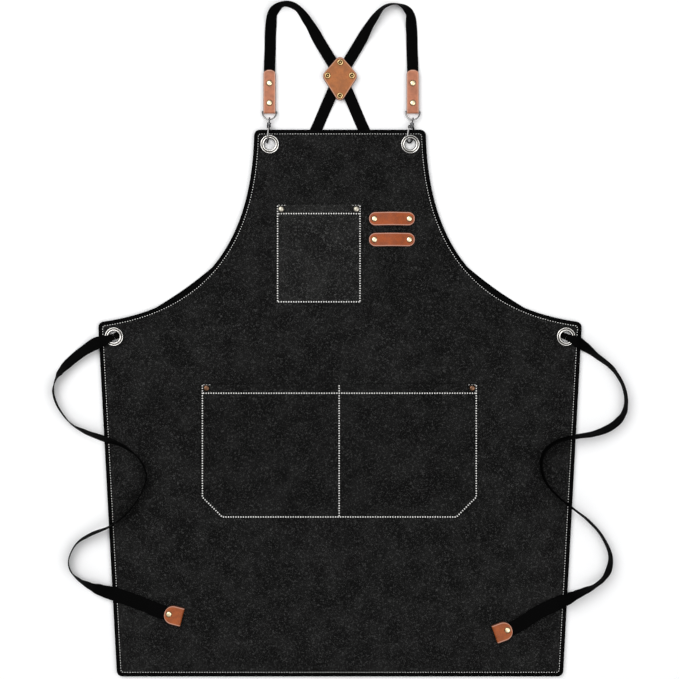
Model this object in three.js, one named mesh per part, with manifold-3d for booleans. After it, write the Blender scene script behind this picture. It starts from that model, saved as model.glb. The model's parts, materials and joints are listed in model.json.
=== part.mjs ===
// Artist smock apron with crossed back straps, laid flat on its back with its front facing up.
// Millimetres. +Z up, +Y towards the top of the bib, +X towards the wearer's left hand.
import * as THREE from "three";
import { mergeVertices } from "three/addons/utils/BufferGeometryUtils.js";
import Module from "manifold-3d";

const wasm = await Module();
wasm.setup();

// ---- driving dimensions ---------------------------------------------------------------------
const GAP = 0.3;                  // clearance between pieces that rest on each other
const FLOOR = 0.3;                // lowest level of the webbing

const BIB_TOP = 292.6;            // top edge of the bib
const BIB_HALF_WIDTH = 119.4;
const WAIST_Y = 23;               // where the armhole meets the side edge
const WAIST_HALF_WIDTH = 338;
const HEM_Y = -471.4;
const HEM_HALF_WIDTH = 311.5;
const ARMHOLE_TOP_PULL = 122;     // handle lengths of the armhole curve
const ARMHOLE_SIDE_PULL = 176;
const ARMHOLE_SIDE_RISE = 22;
const CORNER_RADIUS = 7;
const CLOTH_BACK = 4.4;           // level of the cloth's underside
const CLOTH_THICKNESS = 1.4;
const BINDING_WIDTH = 6.3;
const BINDING_LEAF = 0.8;
const BINDING_LIP = 0.6;          // how far the binding stands out past the cloth's edge

const EYELET_OUTER = 13;
const EYELET_HOLE = 7.4;
const EYELET_WALL = 1;
const EYELET_CROWN = 1.8;
const EYELET_SIDES = 20;
const BIB_EYELET_INSET = { x: 20.9, y: 19.6 };    // from the bib's top corner
const WAIST_EYELET_INSET = { x: 21.5, y: 19.4 };  // from the waist corner
const BIB_EYELET = { x: BIB_HALF_WIDTH - BIB_EYELET_INSET.x, y: BIB_TOP - BIB_EYELET_INSET.y };
const WAIST_EYELET = { x: WAIST_HALF_WIDTH - WAIST_EYELET_INSET.x, y: WAIST_Y - WAIST_EYELET_INSET.y };

const WEBBING_THICKNESS = 1.5;
const STRAP_WIDTH = 16;
const TIE_WIDTH = 19;
const GATHERED_WIDTH = 9.6;       // webbing squeezed where it passes an eyelet
const STRAP_STEPS = 72;
const TIE_STEPS = 70;

const LEATHER = 1.6;
const TAB_WIDTH = 17;
const TAB_LENGTH = 61;
const TAB_ABOVE_BIB = 23.6;
const TAB_FOLD_Y = BIB_TOP + TAB_ABOVE_BIB;  // lowest edge of the fold round the ring's bar
const TAB_RIVETS = [14.6, 42.2];  // heights of a tab's rivets above its fold
const TAB_CORNER = 6;
const LEFT_TAB_X = -BIB_EYELET.x - 0.3;
const RIGHT_TAB_X = BIB_EYELET.x + 3.4;

const PATCH_TOP = 395;
const PATCH_BOTTOM = 333.3;
const PATCH_WAIST_Y = 369;
const PATCH_HALF_WIDTH = 24;
const PATCH_CORNER = 7;
const PATCH_EASE = 0.6;           // room for the webbing's spring between the patch leathers
const PATCH_RIVETS = [[0.4, 387.2], [-17.3, 368.7], [16.7, 368.7], [0, 340.6]];

const RIVET_HEAD_R = 4.4;
const RIVET_HEAD_H = 1.6;
const RIVET_POST_R = 1.2;
const RIVET_CAP_R = 3;
const RIVET_CAP_H = 0.6;
const RIVET_SIDES = 10;

const RING_HALF_WIDTH = 10;
const RING_DEPTH = 12.6;
const RING_WIRE = 1.05;
const LEFT_RING_TILT = 19;        // degrees that the ring rises from its bar
const RIGHT_RING_TILT = 13.3;

const EYE_WIRE = 1;
const STEM_R = 1.1;
const STEM_HEAD_R = 1.8;
const COLLAR_R = 3;
const COLLAR_TOP = 4.2;           // distances down the hook from the middle of its eye
const COLLAR_BOTTOM = 10.2;
const HOOK_LENGTH = 32.5;
const HOOK_HALF_SPAN = 6.5;
const HOOK_WIRE = 1.3;
const GATE_WIRE = 1.1;
const GATE_PIVOT = { x: 4.6, down: 11.3 };
const GATE_NOSE_CLEARANCE = 0.75;  // lets the arm's end swing in past the fixed nose
const GATE_BARREL_R = 1.5;
const GATE_BARREL_HALF = 0.8;
const HINGE_EAR_R = 1.7;
const HINGE_HALF = 2.3;
const HINGE_SLOT_HALF = 1.45;
const HINGE_YOKE_RISE = 2.8;
const GATE_PIN_R = 0.6;
const SPRING_WIRE = 0.25;
const RIGHT_HOOK_TURN = -35;      // degrees that the right hook lies turned on its swivel
const LEFT_HOOK_YAW = 5;          // degrees that a hook leans towards -X
const RIGHT_HOOK_YAW = 10;

const CHEST_POCKET = { left: -89.4, right: 30.1, top: 188.2, bottom: 50.2, chamfer: 1 };
const WAIST_POCKET = { left: -194.6, right: 192.7, top: -62.9, bottom: -250.8, chamfer: 29 };
const LEAST_CHAMFER = 0.5;
const POCKET_CLOTH = 1.2;
const POCKET_DEPTH = 4.8;
const POCKET_SEAM = 4;
const WAIST_DIVIDER_X = -1.2;
const CHEST_RIVETS = { inset: 7.2, drop: 6.5 };
const WAIST_RIVETS = { inset: 8, drop: 5.4 };

const LOOP_LENGTH = 64;
const LOOP_WIDTH = 19;
const LOOP_BOW = 5.6;
const LOOP_FOOT = 14;
const LOOP_RIVET_SPACING = 48.7;
const LOOP_CENTRES = { upper: [72.6, 168.6], lower: [72.6, 139.4] };

const TIP_LENGTH = 25.8;
const TIP_WIDTH = 26;
const TIP_RIVET = 6.5;            // from the rounded edge to the rivet

// ---- levels worked out from them -------------------------------------------------------------
const CLOTH_FRONT = CLOTH_BACK + CLOTH_THICKNESS;
const ON_CLOTH = CLOTH_FRONT + GAP;
const BINDING_BACK = CLOTH_BACK - GAP - BINDING_LEAF;
const BINDING_FRONT = ON_CLOTH + BINDING_LEAF;
const OVER_EDGE = BINDING_FRONT + 2 * GAP;
const CAP_SPACE = RIVET_CAP_H + GAP;
const TAB_BACK = CAP_SPACE;
const FOLD_INNER = RING_WIRE + GAP;
const TAB_MIDDLE = TAB_BACK + LEATHER + FOLD_INNER;
const RING_BAR_Y = TAB_FOLD_Y + LEATHER + FOLD_INNER;
const STRAP_IN_TAB = TAB_MIDDLE - WEBBING_THICKNESS / 2;
const PATCH_BACK = CAP_SPACE;
const LOWER_STRAP_BASE = PATCH_BACK + LEATHER + GAP;
const UPPER_STRAP_BASE = LOWER_STRAP_BASE + WEBBING_THICKNESS + GAP;
const PATCH_FRONT = UPPER_STRAP_BASE + WEBBING_THICKNESS + PATCH_EASE;
const TIP_BACK = ON_CLOTH + CAP_SPACE;
const TIE_IN_TIP = TIP_BACK + LEATHER + GAP;
const TIP_FRONT = TIE_IN_TIP + WEBBING_THICKNESS + GAP;
const RIVET_HOLE_R = RIVET_POST_R + GAP;

// ---- finishes --------------------------------------------------------------------------------
const finishes = {
  canvas: { color: 0x1d1d1e, roughness: 0.92, metalness: 0 },
  webbing: { color: 0x0d0d0e, roughness: 0.8, metalness: 0 },
  leather: { color: 0xa9623e, roughness: 0.55, metalness: 0 },
  nickel: { color: 0xd9d7d2, roughness: 0.2, metalness: 1 },
  gunmetal: { color: 0x8b8c8e, roughness: 0.28, metalness: 1 },
  brass: { color: 0xb89a63, roughness: 0.3, metalness: 1 },
};

const apron = new THREE.Group();

function addPiece(name, geometry, finish, parent = apron) {
  const mesh = new THREE.Mesh(geometry, new THREE.MeshStandardMaterial(finishes[finish]));
  mesh.name = name;
  parent.add(mesh);
  return mesh;
}

// ---- solids: joining and cutting -------------------------------------------------------------
function solid(geometry) {
  const bare = geometry.clone();
  bare.deleteAttribute("normal");
  bare.deleteAttribute("uv");
  const merged = mergeVertices(bare, 1e-4);
  return new wasm.Manifold(new wasm.Mesh({
    numProp: 3,
    vertProperties: new Float32Array(merged.attributes.position.array),
    triVerts: new Uint32Array(merged.index.array),
  }));
}

function geometryOf(body) {
  const mesh = body.getMesh();
  const geometry = new THREE.BufferGeometry();
  geometry.setAttribute("position", new THREE.BufferAttribute(new Float32Array(mesh.vertProperties), 3));
  geometry.setIndex(new THREE.BufferAttribute(new Uint32Array(mesh.triVerts), 1));
  return geometry;
}

function cut(geometry, ...tools) {
  return geometryOf(tools.reduce((body, tool) => body.subtract(solid(tool)), solid(geometry)));
}

function join(...geometries) {
  return geometryOf(geometries.map(solid).reduce((body, other) => body.add(other)));
}

function common(first, second) {
  return geometryOf(solid(first).intersect(solid(second)));
}

// ---- plain shapes ----------------------------------------------------------------------------
function slab(shape, bottom, top, curveSegments = 4) {
  const geometry = new THREE.ExtrudeGeometry(shape, {
    depth: top - bottom, bevelEnabled: false, curveSegments,
  });
  return geometry.translate(0, 0, bottom);
}

function post(x, y, bottom, top, radius, sides = 12) {
  const cylinder = new THREE.CylinderGeometry(radius, radius, top - bottom, sides);
  return cylinder.rotateX(Math.PI / 2).translate(x, y, (top + bottom) / 2);
}

function revolved(points, segments) {
  const profile = points.map(([r, z]) => new THREE.Vector2(r, z));
  return new THREE.LatheGeometry(profile, segments).rotateX(Math.PI / 2);
}

function block(x0, x1, y0, y1, z0, z1) {
  const box = new THREE.BoxGeometry(x1 - x0, y1 - y0, z1 - z0);
  return box.translate((x0 + x1) / 2, (y0 + y1) / 2, (z0 + z1) / 2);
}

function wire(points, radius, steps, sides = 8) {
  const section = new THREE.Shape();
  section.absarc(0, 0, radius, 0, 2 * Math.PI);
  const path = new THREE.CatmullRomCurve3(points.map((p) => new THREE.Vector3(...p)));
  return new THREE.ExtrudeGeometry(section, {
    steps, extrudePath: path, curveSegments: sides / 2, bevelEnabled: false,
  });
}

// A hole with flat sides that never come nearer its middle than the radius.
function roundHole(x, y, radius, sides = 8) {
  const hole = new THREE.Path();
  const corner = radius / Math.cos(Math.PI / sides);
  for (let i = 0; i < sides; i += 1) {
    const angle = -2 * Math.PI * i / sides;
    const place = [x + corner * Math.cos(angle), y + corner * Math.sin(angle)];
    if (i === 0) hole.moveTo(...place);
    else hole.lineTo(...place);
  }
  hole.closePath();
  return hole;
}

// A closed shape through corner points, each corner rounded by its own radius.
function roundedShape(corners, radii) {
  const shape = new THREE.Shape();
  corners.forEach((corner, i) => {
    const before = corners.at(i - 1);
    const after = corners[(i + 1) % corners.length];
    const start = corner.clone().add(before.clone().sub(corner).setLength(radii[i]));
    const end = corner.clone().add(after.clone().sub(corner).setLength(radii[i]));
    if (i === 0) shape.moveTo(start.x, start.y);
    else shape.lineTo(start.x, start.y);
    shape.quadraticCurveTo(corner.x, corner.y, end.x, end.y);
  });
  shape.closePath();
  return shape;
}

// ---- the body cloth and its binding ----------------------------------------------------------
// Half of the apron's edge, from the hem's middle round the right side to the bib's middle,
// moved inwards by inset. Straight hem and side, a cubic armhole, a straight bib top.
function halfEdge(inset) {
  const side = new THREE.Vector2(WAIST_HALF_WIDTH - HEM_HALF_WIDTH, WAIST_Y - HEM_Y).normalize();
  const sideX = (y) => HEM_HALF_WIDTH + (y - HEM_Y) * side.x / side.y - inset / side.y;
  const armhole = new THREE.CubicBezierCurve(
    new THREE.Vector2(WAIST_HALF_WIDTH, WAIST_Y),
    new THREE.Vector2(WAIST_HALF_WIDTH - ARMHOLE_SIDE_PULL, WAIST_Y + ARMHOLE_SIDE_RISE),
    new THREE.Vector2(BIB_HALF_WIDTH + 1.5, BIB_TOP - ARMHOLE_TOP_PULL),
    new THREE.Vector2(BIB_HALF_WIDTH, BIB_TOP),
  );
  const samples = 26;
  const curve = [];
  for (let i = 0; i <= samples; i += 1) {
    const along = armhole.getTangent(i / samples);
    const inward = new THREE.Vector2(-along.y, along.x).multiplyScalar(inset);
    curve.push(armhole.getPoint(i / samples).add(inward));
  }
  const bibY = BIB_TOP - inset;
  const inBody = curve.filter((p) => p.x < sideX(p.y) - CORNER_RADIUS && p.y < bibY - CORNER_RADIUS);
  const last = inBody.at(-1);
  const first = inBody[0];
  const slope = armhole.getTangent(0);
  const reach = (sideX(first.y) - first.x) / -slope.x;
  const waist = new THREE.Vector2(sideX(first.y), first.y - slope.y * reach);
  return {
    hem: new THREE.Vector2(sideX(HEM_Y + inset), HEM_Y + inset),
    waist,
    curve: inBody,
    bib: new THREE.Vector2(last.x - (bibY - last.y) * 0.005, bibY),
  };
}

function apronShape(inset) {
  const edge = halfEdge(inset);
  const right = [edge.hem, edge.waist, ...edge.curve, edge.bib];
  const left = right.map((p) => new THREE.Vector2(-p.x, p.y)).reverse();
  const corners = [...right, ...left];
  const radius = Math.max(CORNER_RADIUS - inset, 1);
  const isCorner = (p) => [edge.hem, edge.waist, edge.bib].some(
    (q) => Math.abs(Math.abs(p.x) - q.x) < 1e-6 && Math.abs(p.y - q.y) < 1e-6);
  const shape = new THREE.Shape();
  corners.forEach((corner, i) => {
    if (!isCorner(corner)) {
      shape.lineTo(corner.x, corner.y);
      return;
    }
    const before = corners.at(i - 1);
    const after = corners[(i + 1) % corners.length];
    const start = corner.clone().add(before.clone().sub(corner).setLength(radius));
    const end = corner.clone().add(after.clone().sub(corner).setLength(radius));
    if (i === 0) shape.moveTo(start.x, start.y);
    else shape.lineTo(start.x, start.y);
    shape.quadraticCurveTo(corner.x, corner.y, end.x, end.y);
  });
  shape.closePath();
  return shape;
}

const eyelets = [
  { name: "bib_eyelet_left", x: -BIB_EYELET.x, y: BIB_EYELET.y },
  { name: "bib_eyelet_right", x: BIB_EYELET.x, y: BIB_EYELET.y },
  { name: "waist_eyelet_left", x: -WAIST_EYELET.x, y: WAIST_EYELET.y },
  { name: "waist_eyelet_right", x: WAIST_EYELET.x, y: WAIST_EYELET.y },
];

const pocketRivets = [
  ["chest_rivet_left", CHEST_POCKET.left + CHEST_RIVETS.inset, CHEST_POCKET.top - CHEST_RIVETS.drop],
  ["chest_rivet_right", CHEST_POCKET.right - CHEST_RIVETS.inset, CHEST_POCKET.top - CHEST_RIVETS.drop],
  ["waist_rivet_left", WAIST_POCKET.left + WAIST_RIVETS.inset, WAIST_POCKET.top - WAIST_RIVETS.drop],
  ["waist_rivet_right", WAIST_POCKET.right - WAIST_RIVETS.inset, WAIST_POCKET.top - WAIST_RIVETS.drop],
];

const loopRivets = Object.entries(LOOP_CENTRES).flatMap(([name, [x, y]]) => [
  [`${name}_loop_rivet_left`, x - LOOP_RIVET_SPACING / 2, y],
  [`${name}_loop_rivet_right`, x + LOOP_RIVET_SPACING / 2, y],
]);

function makeBody() {
  const shape = apronShape(0);
  const clearOfBarrel = EYELET_HOLE + EYELET_WALL + GAP;
  eyelets.forEach(({ x, y }) => shape.holes.push(roundHole(x, y, clearOfBarrel, EYELET_SIDES)));
  [...pocketRivets, ...loopRivets].forEach(([, x, y]) => shape.holes.push(roundHole(x, y, RIVET_HOLE_R)));
  addPiece("apron_body", slab(shape, CLOTH_BACK, CLOTH_FRONT, 4), "canvas");
}

function makeBinding() {
  const outer = slab(apronShape(-BINDING_LIP - GAP), BINDING_BACK, BINDING_FRONT, 4);
  const inner = slab(apronShape(BINDING_WIDTH), BINDING_BACK - 1, BINDING_FRONT + 1, 4);
  const groove = slab(apronShape(-GAP), CLOTH_BACK - GAP, ON_CLOTH, 4);
  addPiece("edge_binding", cut(outer, inner, groove), "canvas");
}

// ---- eyelets: a rolled front piece with its barrel, and a back washer ------------------------
function makeEyelets() {
  const barrel = EYELET_HOLE + EYELET_WALL;
  const top = ON_CLOTH + EYELET_CROWN;
  const front = revolved([
    [EYELET_HOLE, BINDING_BACK], [barrel, BINDING_BACK], [barrel, ON_CLOTH],
    [EYELET_OUTER, ON_CLOTH], [EYELET_OUTER - 0.5, ON_CLOTH + EYELET_CROWN * 0.6],
    [EYELET_OUTER - 2.2, top], [EYELET_HOLE + 1.6, top],
    [EYELET_HOLE + 0.4, ON_CLOTH + EYELET_CROWN * 0.6], [EYELET_HOLE, ON_CLOTH],
    [EYELET_HOLE, BINDING_BACK],
  ], EYELET_SIDES);
  const washer = revolved([
    [barrel + GAP, BINDING_BACK], [EYELET_OUTER - 0.8, BINDING_BACK],
    [EYELET_OUTER - 0.8, CLOTH_BACK - GAP], [barrel + GAP, CLOTH_BACK - GAP],
    [barrel + GAP, BINDING_BACK],
  ], EYELET_SIDES);
  eyelets.forEach(({ name, x, y }) => {
    addPiece(name, front.clone().translate(x, y, 0), "nickel");
    addPiece(name.replace("eyelet", "washer"), washer.clone().translate(x, y, 0), "nickel");
  });
}

// ---- rivets ----------------------------------------------------------------------------------
// A domed head above the outer layer, a post through it, and a flat cap under the lowest layer.
function rivet(lowest, highest) {
  const cap = lowest - GAP;
  const head = highest + GAP;
  return revolved([
    [0, cap - RIVET_CAP_H], [RIVET_CAP_R, cap - RIVET_CAP_H], [RIVET_CAP_R, cap],
    [RIVET_POST_R, cap], [RIVET_POST_R, head], [RIVET_HEAD_R, head],
    [RIVET_HEAD_R * 0.8, head + RIVET_HEAD_H * 0.7],
    [0, head + RIVET_HEAD_H],
  ], RIVET_SIDES);
}

function addRivet(name, x, y, lowest, highest) {
  addPiece(name, rivet(lowest, highest).translate(x, y, 0), "brass");
}

// ---- pockets: shallow trays sewn to the body along three sides --------------------------------
function pocketShape({ left, right, top, bottom, chamfer }, inset, mouth) {
  const reach = Math.max(chamfer + inset * Math.tan(Math.PI / 8), inset + LEAST_CHAMFER);
  const shape = new THREE.Shape();
  shape.moveTo(left + reach, bottom + inset);
  shape.lineTo(right - reach, bottom + inset);
  shape.lineTo(right - inset, bottom + reach);
  shape.lineTo(right - inset, mouth);
  shape.lineTo(left + inset, mouth);
  shape.lineTo(left + inset, bottom + reach);
  shape.closePath();
  return shape;
}

function makePocket(name, pocket, rivetHoles, dividerX) {
  const ceiling = ON_CLOTH + POCKET_DEPTH;
  const top = ceiling + POCKET_CLOTH;
  const shell = slab(pocketShape(pocket, 0, pocket.top), ON_CLOTH, top);
  let hollow = slab(pocketShape(pocket, POCKET_SEAM, pocket.top + 1), ON_CLOTH - 1, ceiling);
  if (dividerX !== undefined) {
    const half = POCKET_SEAM / 2;
    const seam = block(dividerX - half, dividerX + half, pocket.bottom, pocket.top + 2,
      ON_CLOTH - 2, ceiling + 1);
    hollow = cut(hollow, seam);
  }
  const cornerPads = rivetHoles.map(([, x, y]) => post(x, y, ON_CLOTH, top, RIVET_CAP_R, 12));
  const holes = rivetHoles.map(([, x, y]) => post(x, y, ON_CLOTH - 1, top + 1, RIVET_HOLE_R, 8));
  addPiece(name, cut(join(cut(shell, hollow), ...cornerPads), ...holes), "canvas");
  rivetHoles.forEach(([rivetName, x, y]) => addRivet(rivetName, x, y, CLOTH_BACK, top));
}

// ---- pen loops: two leather bridges held by a rivet at each end -------------------------------
function makePenLoops() {
  const half = LOOP_LENGTH / 2;
  const foot = half - LOOP_FOOT;
  const bridge = new THREE.Shape();
  bridge.moveTo(-half, 0);
  bridge.lineTo(-foot, 0);
  bridge.bezierCurveTo(-foot + 5, 0, -foot + 3, LOOP_BOW, -foot + 9, LOOP_BOW);
  bridge.lineTo(foot - 9, LOOP_BOW);
  bridge.bezierCurveTo(foot - 3, LOOP_BOW, foot - 5, 0, foot, 0);
  bridge.lineTo(half, 0);
  bridge.lineTo(half, LEATHER);
  bridge.lineTo(foot - 1, LEATHER);
  bridge.bezierCurveTo(foot - 5, LEATHER, foot - 3, LOOP_BOW + LEATHER, foot - 9, LOOP_BOW + LEATHER);
  bridge.lineTo(-foot + 9, LOOP_BOW + LEATHER);
  bridge.bezierCurveTo(-foot + 3, LOOP_BOW + LEATHER, -foot + 5, LEATHER, -foot + 1, LEATHER);
  bridge.lineTo(-half, LEATHER);
  bridge.closePath();
  const strip = slab(bridge, -LOOP_WIDTH / 2, LOOP_WIDTH / 2, 6).rotateX(Math.PI / 2);
  const end = LOOP_WIDTH / 2;
  const outline = new THREE.Shape();
  outline.absarc(half - end, 0, end, -Math.PI / 2, Math.PI / 2);
  outline.absarc(-half + end, 0, end, Math.PI / 2, 3 * Math.PI / 2);
  const leather = common(strip, slab(outline, -1, LOOP_BOW + LEATHER + 1));
  Object.entries(LOOP_CENTRES).forEach(([name, [x, y]], i) => {
    const rivets = loopRivets.slice(2 * i, 2 * i + 2);
    const placed = leather.clone().translate(x, y, ON_CLOTH);
    const holes = rivets.map(([, rx, ry]) => post(rx, ry, 0, 20, RIVET_HOLE_R, 8));
    addPiece(`${name}_pen_loop`, cut(placed, ...holes), "leather");
    rivets.forEach(([rivetName, rx, ry]) => addRivet(rivetName, rx, ry, CLOTH_BACK, ON_CLOTH + LEATHER));
  });
}

// ---- webbing ---------------------------------------------------------------------------------
// A flat band along a curve. Each point of its route is [x, y, base, roll, width]: base is the
// height that the band's lowest edge has there, and roll is its turn about its own length in
// degrees, 0 lying flat and 90 standing on edge.
class WebbingPath extends THREE.Curve {
  constructor(route) {
    super();
    this.route = route;
    this.plan = new THREE.CatmullRomCurve3(route.map(([x, y, base]) => new THREE.Vector3(x, y, base)));
  }

  valueAt(t, column) {
    const place = Math.min(t * (this.route.length - 1), this.route.length - 1 - 1e-9);
    const i = Math.floor(place);
    const share = THREE.MathUtils.smoothstep(place - i, 0, 1);
    return THREE.MathUtils.lerp(this.route[i][column], this.route[i + 1][column], share);
  }

  getPoint(t) {
    const point = this.plan.getPoint(t);
    const roll = THREE.MathUtils.degToRad(this.valueAt(t, 3));
    point.z += Math.abs(Math.sin(roll)) * this.valueAt(t, 4) / 2;
    point.z += Math.abs(Math.cos(roll)) * WEBBING_THICKNESS / 2;
    return point;
  }

  computeFrenetFrames(steps) {
    const frames = { tangents: [], normals: [], binormals: [] };
    const up = new THREE.Vector3(0, 0, 1);
    for (let i = 0; i <= steps; i += 1) {
      const t = this.getUtoTmapping(i / steps);
      const tangent = this.getTangent(t);
      const flat = new THREE.Vector3().crossVectors(up, tangent).normalize();
      const across = flat.clone().applyAxisAngle(tangent, THREE.MathUtils.degToRad(this.valueAt(t, 3)));
      const face = new THREE.Vector3().crossVectors(tangent, across);
      frames.tangents.push(tangent);
      frames.normals.push(across.multiplyScalar(this.valueAt(t, 4)));
      frames.binormals.push(face);
    }
    return frames;
  }
}

function webbing(route, steps) {
  const half = WEBBING_THICKNESS / 2;
  const section = new THREE.Shape();
  section.moveTo(-0.5, -half);
  section.lineTo(0.5, -half);
  section.lineTo(0.5, half);
  section.lineTo(-0.5, half);
  section.closePath();
  return new THREE.ExtrudeGeometry(section, {
    steps, extrudePath: new WebbingPath(route), bevelEnabled: false,
  });
}

// From the end in its leather tab, up over the shoulder arch, down through the patch, behind the
// body and up into the waist eyelet on the other side. The route is for the strap of the left tab.
function strapRoute(tabX, archX, side, crossBase) {
  const holeX = side * WAIST_EYELET.x;
  const legX = side * 33;
  return [
    [tabX, RING_BAR_Y + FOLD_INNER + GAP, STRAP_IN_TAB, 0, STRAP_WIDTH - 1],
    [tabX, 348, STRAP_IN_TAB, 0, STRAP_WIDTH],
    [tabX, 377, STRAP_IN_TAB, 0, STRAP_WIDTH],
    [tabX + side * 0.8, 405, FLOOR, 0, STRAP_WIDTH],
    [tabX + side * 1.8, 437, FLOOR, 8, STRAP_WIDTH],
    [tabX + side * 5.5, 458.5, FLOOR, 40, STRAP_WIDTH],
    [archX, 470.2, FLOOR, 73, STRAP_WIDTH],
    [archX + side * 17, 465.8, FLOOR, 66, STRAP_WIDTH],
    [side * -44, 443.5, FLOOR, 42, STRAP_WIDTH],
    [side * -28, 416, 1.2, 6, STRAP_WIDTH],
    [side * -13, 391, crossBase, 0, STRAP_WIDTH],
    [0, 369, crossBase, 0, STRAP_WIDTH],
    [side * 12, 343, crossBase, 0, STRAP_WIDTH],
    [side * 23, 318, FLOOR, 0, STRAP_WIDTH],
    [legX, 295, FLOOR, 0, STRAP_WIDTH],
    [side * 72, 215, FLOOR, 0, STRAP_WIDTH],
    [side * 134, 133, FLOOR, 0, STRAP_WIDTH],
    [side * 208, 68, FLOOR, 0, STRAP_WIDTH],
    [holeX - side * 31, WAIST_EYELET.y + 16.5, FLOOR, 0, STRAP_WIDTH - 2],
    [holeX - side * 12, WAIST_EYELET.y + 5.6, FLOOR, 0, GATHERED_WIDTH + 0.6],
    [holeX - side * 5.4, WAIST_EYELET.y + 2.3, FLOOR, 0, GATHERED_WIDTH - 0.6],
    [holeX - side * 0.3, WAIST_EYELET.y + 0.1, 3.6, 0, GATHERED_WIDTH - 0.6],
  ];
}

function tieStart(side) {
  const crown = ON_CLOTH + EYELET_CROWN + GAP;
  const x = side * WAIST_EYELET.x;
  const y = WAIST_EYELET.y;
  return [
    [x + side * 0.3, y - 0.1, 4.6, 0, GATHERED_WIDTH - 0.6],
    [x + side * 6.4, y - 2.7, crown + 0.6, 0, GATHERED_WIDTH + 0.4],
    [x + side * 13, y - 5.6, crown + 0.2, 0, TIE_WIDTH - 5],
  ];
}

const TIE_END = 6;                // how far from the tip's fold the webbing ends
const LEFT_TIE = [
  ...tieStart(-1),
  [-341, -6, OVER_EDGE + GAP, 22, TIE_WIDTH],
  [-360, -17.5, 3, 38, TIE_WIDTH],
  [-380, -33.5, FLOOR, 44, TIE_WIDTH],
  [-391, -45.5, FLOOR, 58, TIE_WIDTH],
  [-397.5, -56, FLOOR, 76, TIE_WIDTH],
  [-401, -72, FLOOR, 86, TIE_WIDTH],
  [-396.5, -89.5, FLOOR, 86, TIE_WIDTH],
  [-386, -107, FLOOR, 84, TIE_WIDTH],
  [-373, -120.5, FLOOR, 78, TIE_WIDTH],
  [-353, -130.5, 4, 66, TIE_WIDTH],
  [-331, -138, OVER_EDGE, 60, TIE_WIDTH],
  [-303, -148.5, ON_CLOTH, 72, TIE_WIDTH],
  [-279, -168, ON_CLOTH, 84, TIE_WIDTH],
  [-270.3, -190, ON_CLOTH, 86, TIE_WIDTH],
  [-277, -214, ON_CLOTH, 86, TIE_WIDTH],
  [-295, -240, ON_CLOTH, 86, TIE_WIDTH],
  [-320, -260.5, OVER_EDGE, 86, TIE_WIDTH],
  [-349, -273, 2.4, 80, TIE_WIDTH],
  [-368.5, -286, FLOOR, 84, TIE_WIDTH],
  [-379.5, -309.5, FLOOR, 82, TIE_WIDTH],
  [-376, -325, FLOOR, 80, TIE_WIDTH],
  [-363.5, -337, 1.5, 66, TIE_WIDTH],
  [-349, -344.8, 4, 50, TIE_WIDTH],
  [-334.5, -350.3, 6.6, 24, TIE_WIDTH],
  [-317, -356, OVER_EDGE, 0, TIE_WIDTH],
  [-279, -368.8, TIE_IN_TIP, 0, TIE_WIDTH],
];
const RIGHT_TIE = [
  ...tieStart(1),
  [339, -9, OVER_EDGE + GAP, 50, TIE_WIDTH],
  [358, -23, 2, 72, TIE_WIDTH],
  [378, -38, FLOOR, 78, TIE_WIDTH],
  [387, -49, FLOOR, 84, TIE_WIDTH],
  [395, -63, FLOOR, 86, TIE_WIDTH],
  [399.3, -78, FLOOR, 86, TIE_WIDTH],
  [399.8, -90, FLOOR, 85, TIE_WIDTH],
  [397, -103, FLOOR, 78, TIE_WIDTH],
  [388, -115.5, FLOOR, 68, TIE_WIDTH],
  [372, -126, 2, 66, TIE_WIDTH],
  [352, -132.5, 5, 72, TIE_WIDTH],
  [331, -135.5, OVER_EDGE, 76, TIE_WIDTH],
  [312, -139.5, ON_CLOTH, 80, TIE_WIDTH],
  [297, -146, ON_CLOTH, 84, TIE_WIDTH],
  [285, -157.5, ON_CLOTH, 84, TIE_WIDTH],
  [280.6, -175, ON_CLOTH, 86, TIE_WIDTH],
  [287, -199, ON_CLOTH, 86, TIE_WIDTH],
  [304, -219, ON_CLOTH, 86, TIE_WIDTH],
  [325.5, -236.5, OVER_EDGE, 84, TIE_WIDTH],
  [347, -253.5, 2.4, 82, TIE_WIDTH],
  [366, -275, FLOOR, 84, TIE_WIDTH],
  [378, -303, FLOOR, 82, TIE_WIDTH],
  [375.5, -323, FLOOR, 76, TIE_WIDTH],
  [368, -335, 1, 84, TIE_WIDTH],
  [357, -343.5, 3, 86, TIE_WIDTH],
  [342, -350.5, 6, 72, TIE_WIDTH],
  [329, -356.3, OVER_EDGE, 62, TIE_WIDTH],
  [318, -362, OVER_EDGE, 44, TIE_WIDTH],
  [300, -371, OVER_EDGE, 14, TIE_WIDTH],
  [279, -381, TIE_IN_TIP, 0, TIE_WIDTH],
];
// Each tip: the middle of the leather and the direction that the tie runs in there.
const TIPS = {
  left: { x: -232.8, y: -385.6, angle: -14.5 },
  right: { x: 228, y: -408.4, angle: -160 },
};

function withEnd(route, { x, y, angle }) {
  const reach = TIP_LENGTH / 2 - TIE_END;
  const direction = new THREE.Vector2(1, 0).rotateAround(new THREE.Vector2(), THREE.MathUtils.degToRad(angle));
  const enter = TIP_LENGTH / 2 + 4;
  return [
    ...route,
    [x - direction.x * enter, y - direction.y * enter, TIE_IN_TIP, 0, TIE_WIDTH],
    [x + direction.x * reach, y + direction.y * reach, TIE_IN_TIP, 0, TIE_WIDTH],
  ];
}

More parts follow.
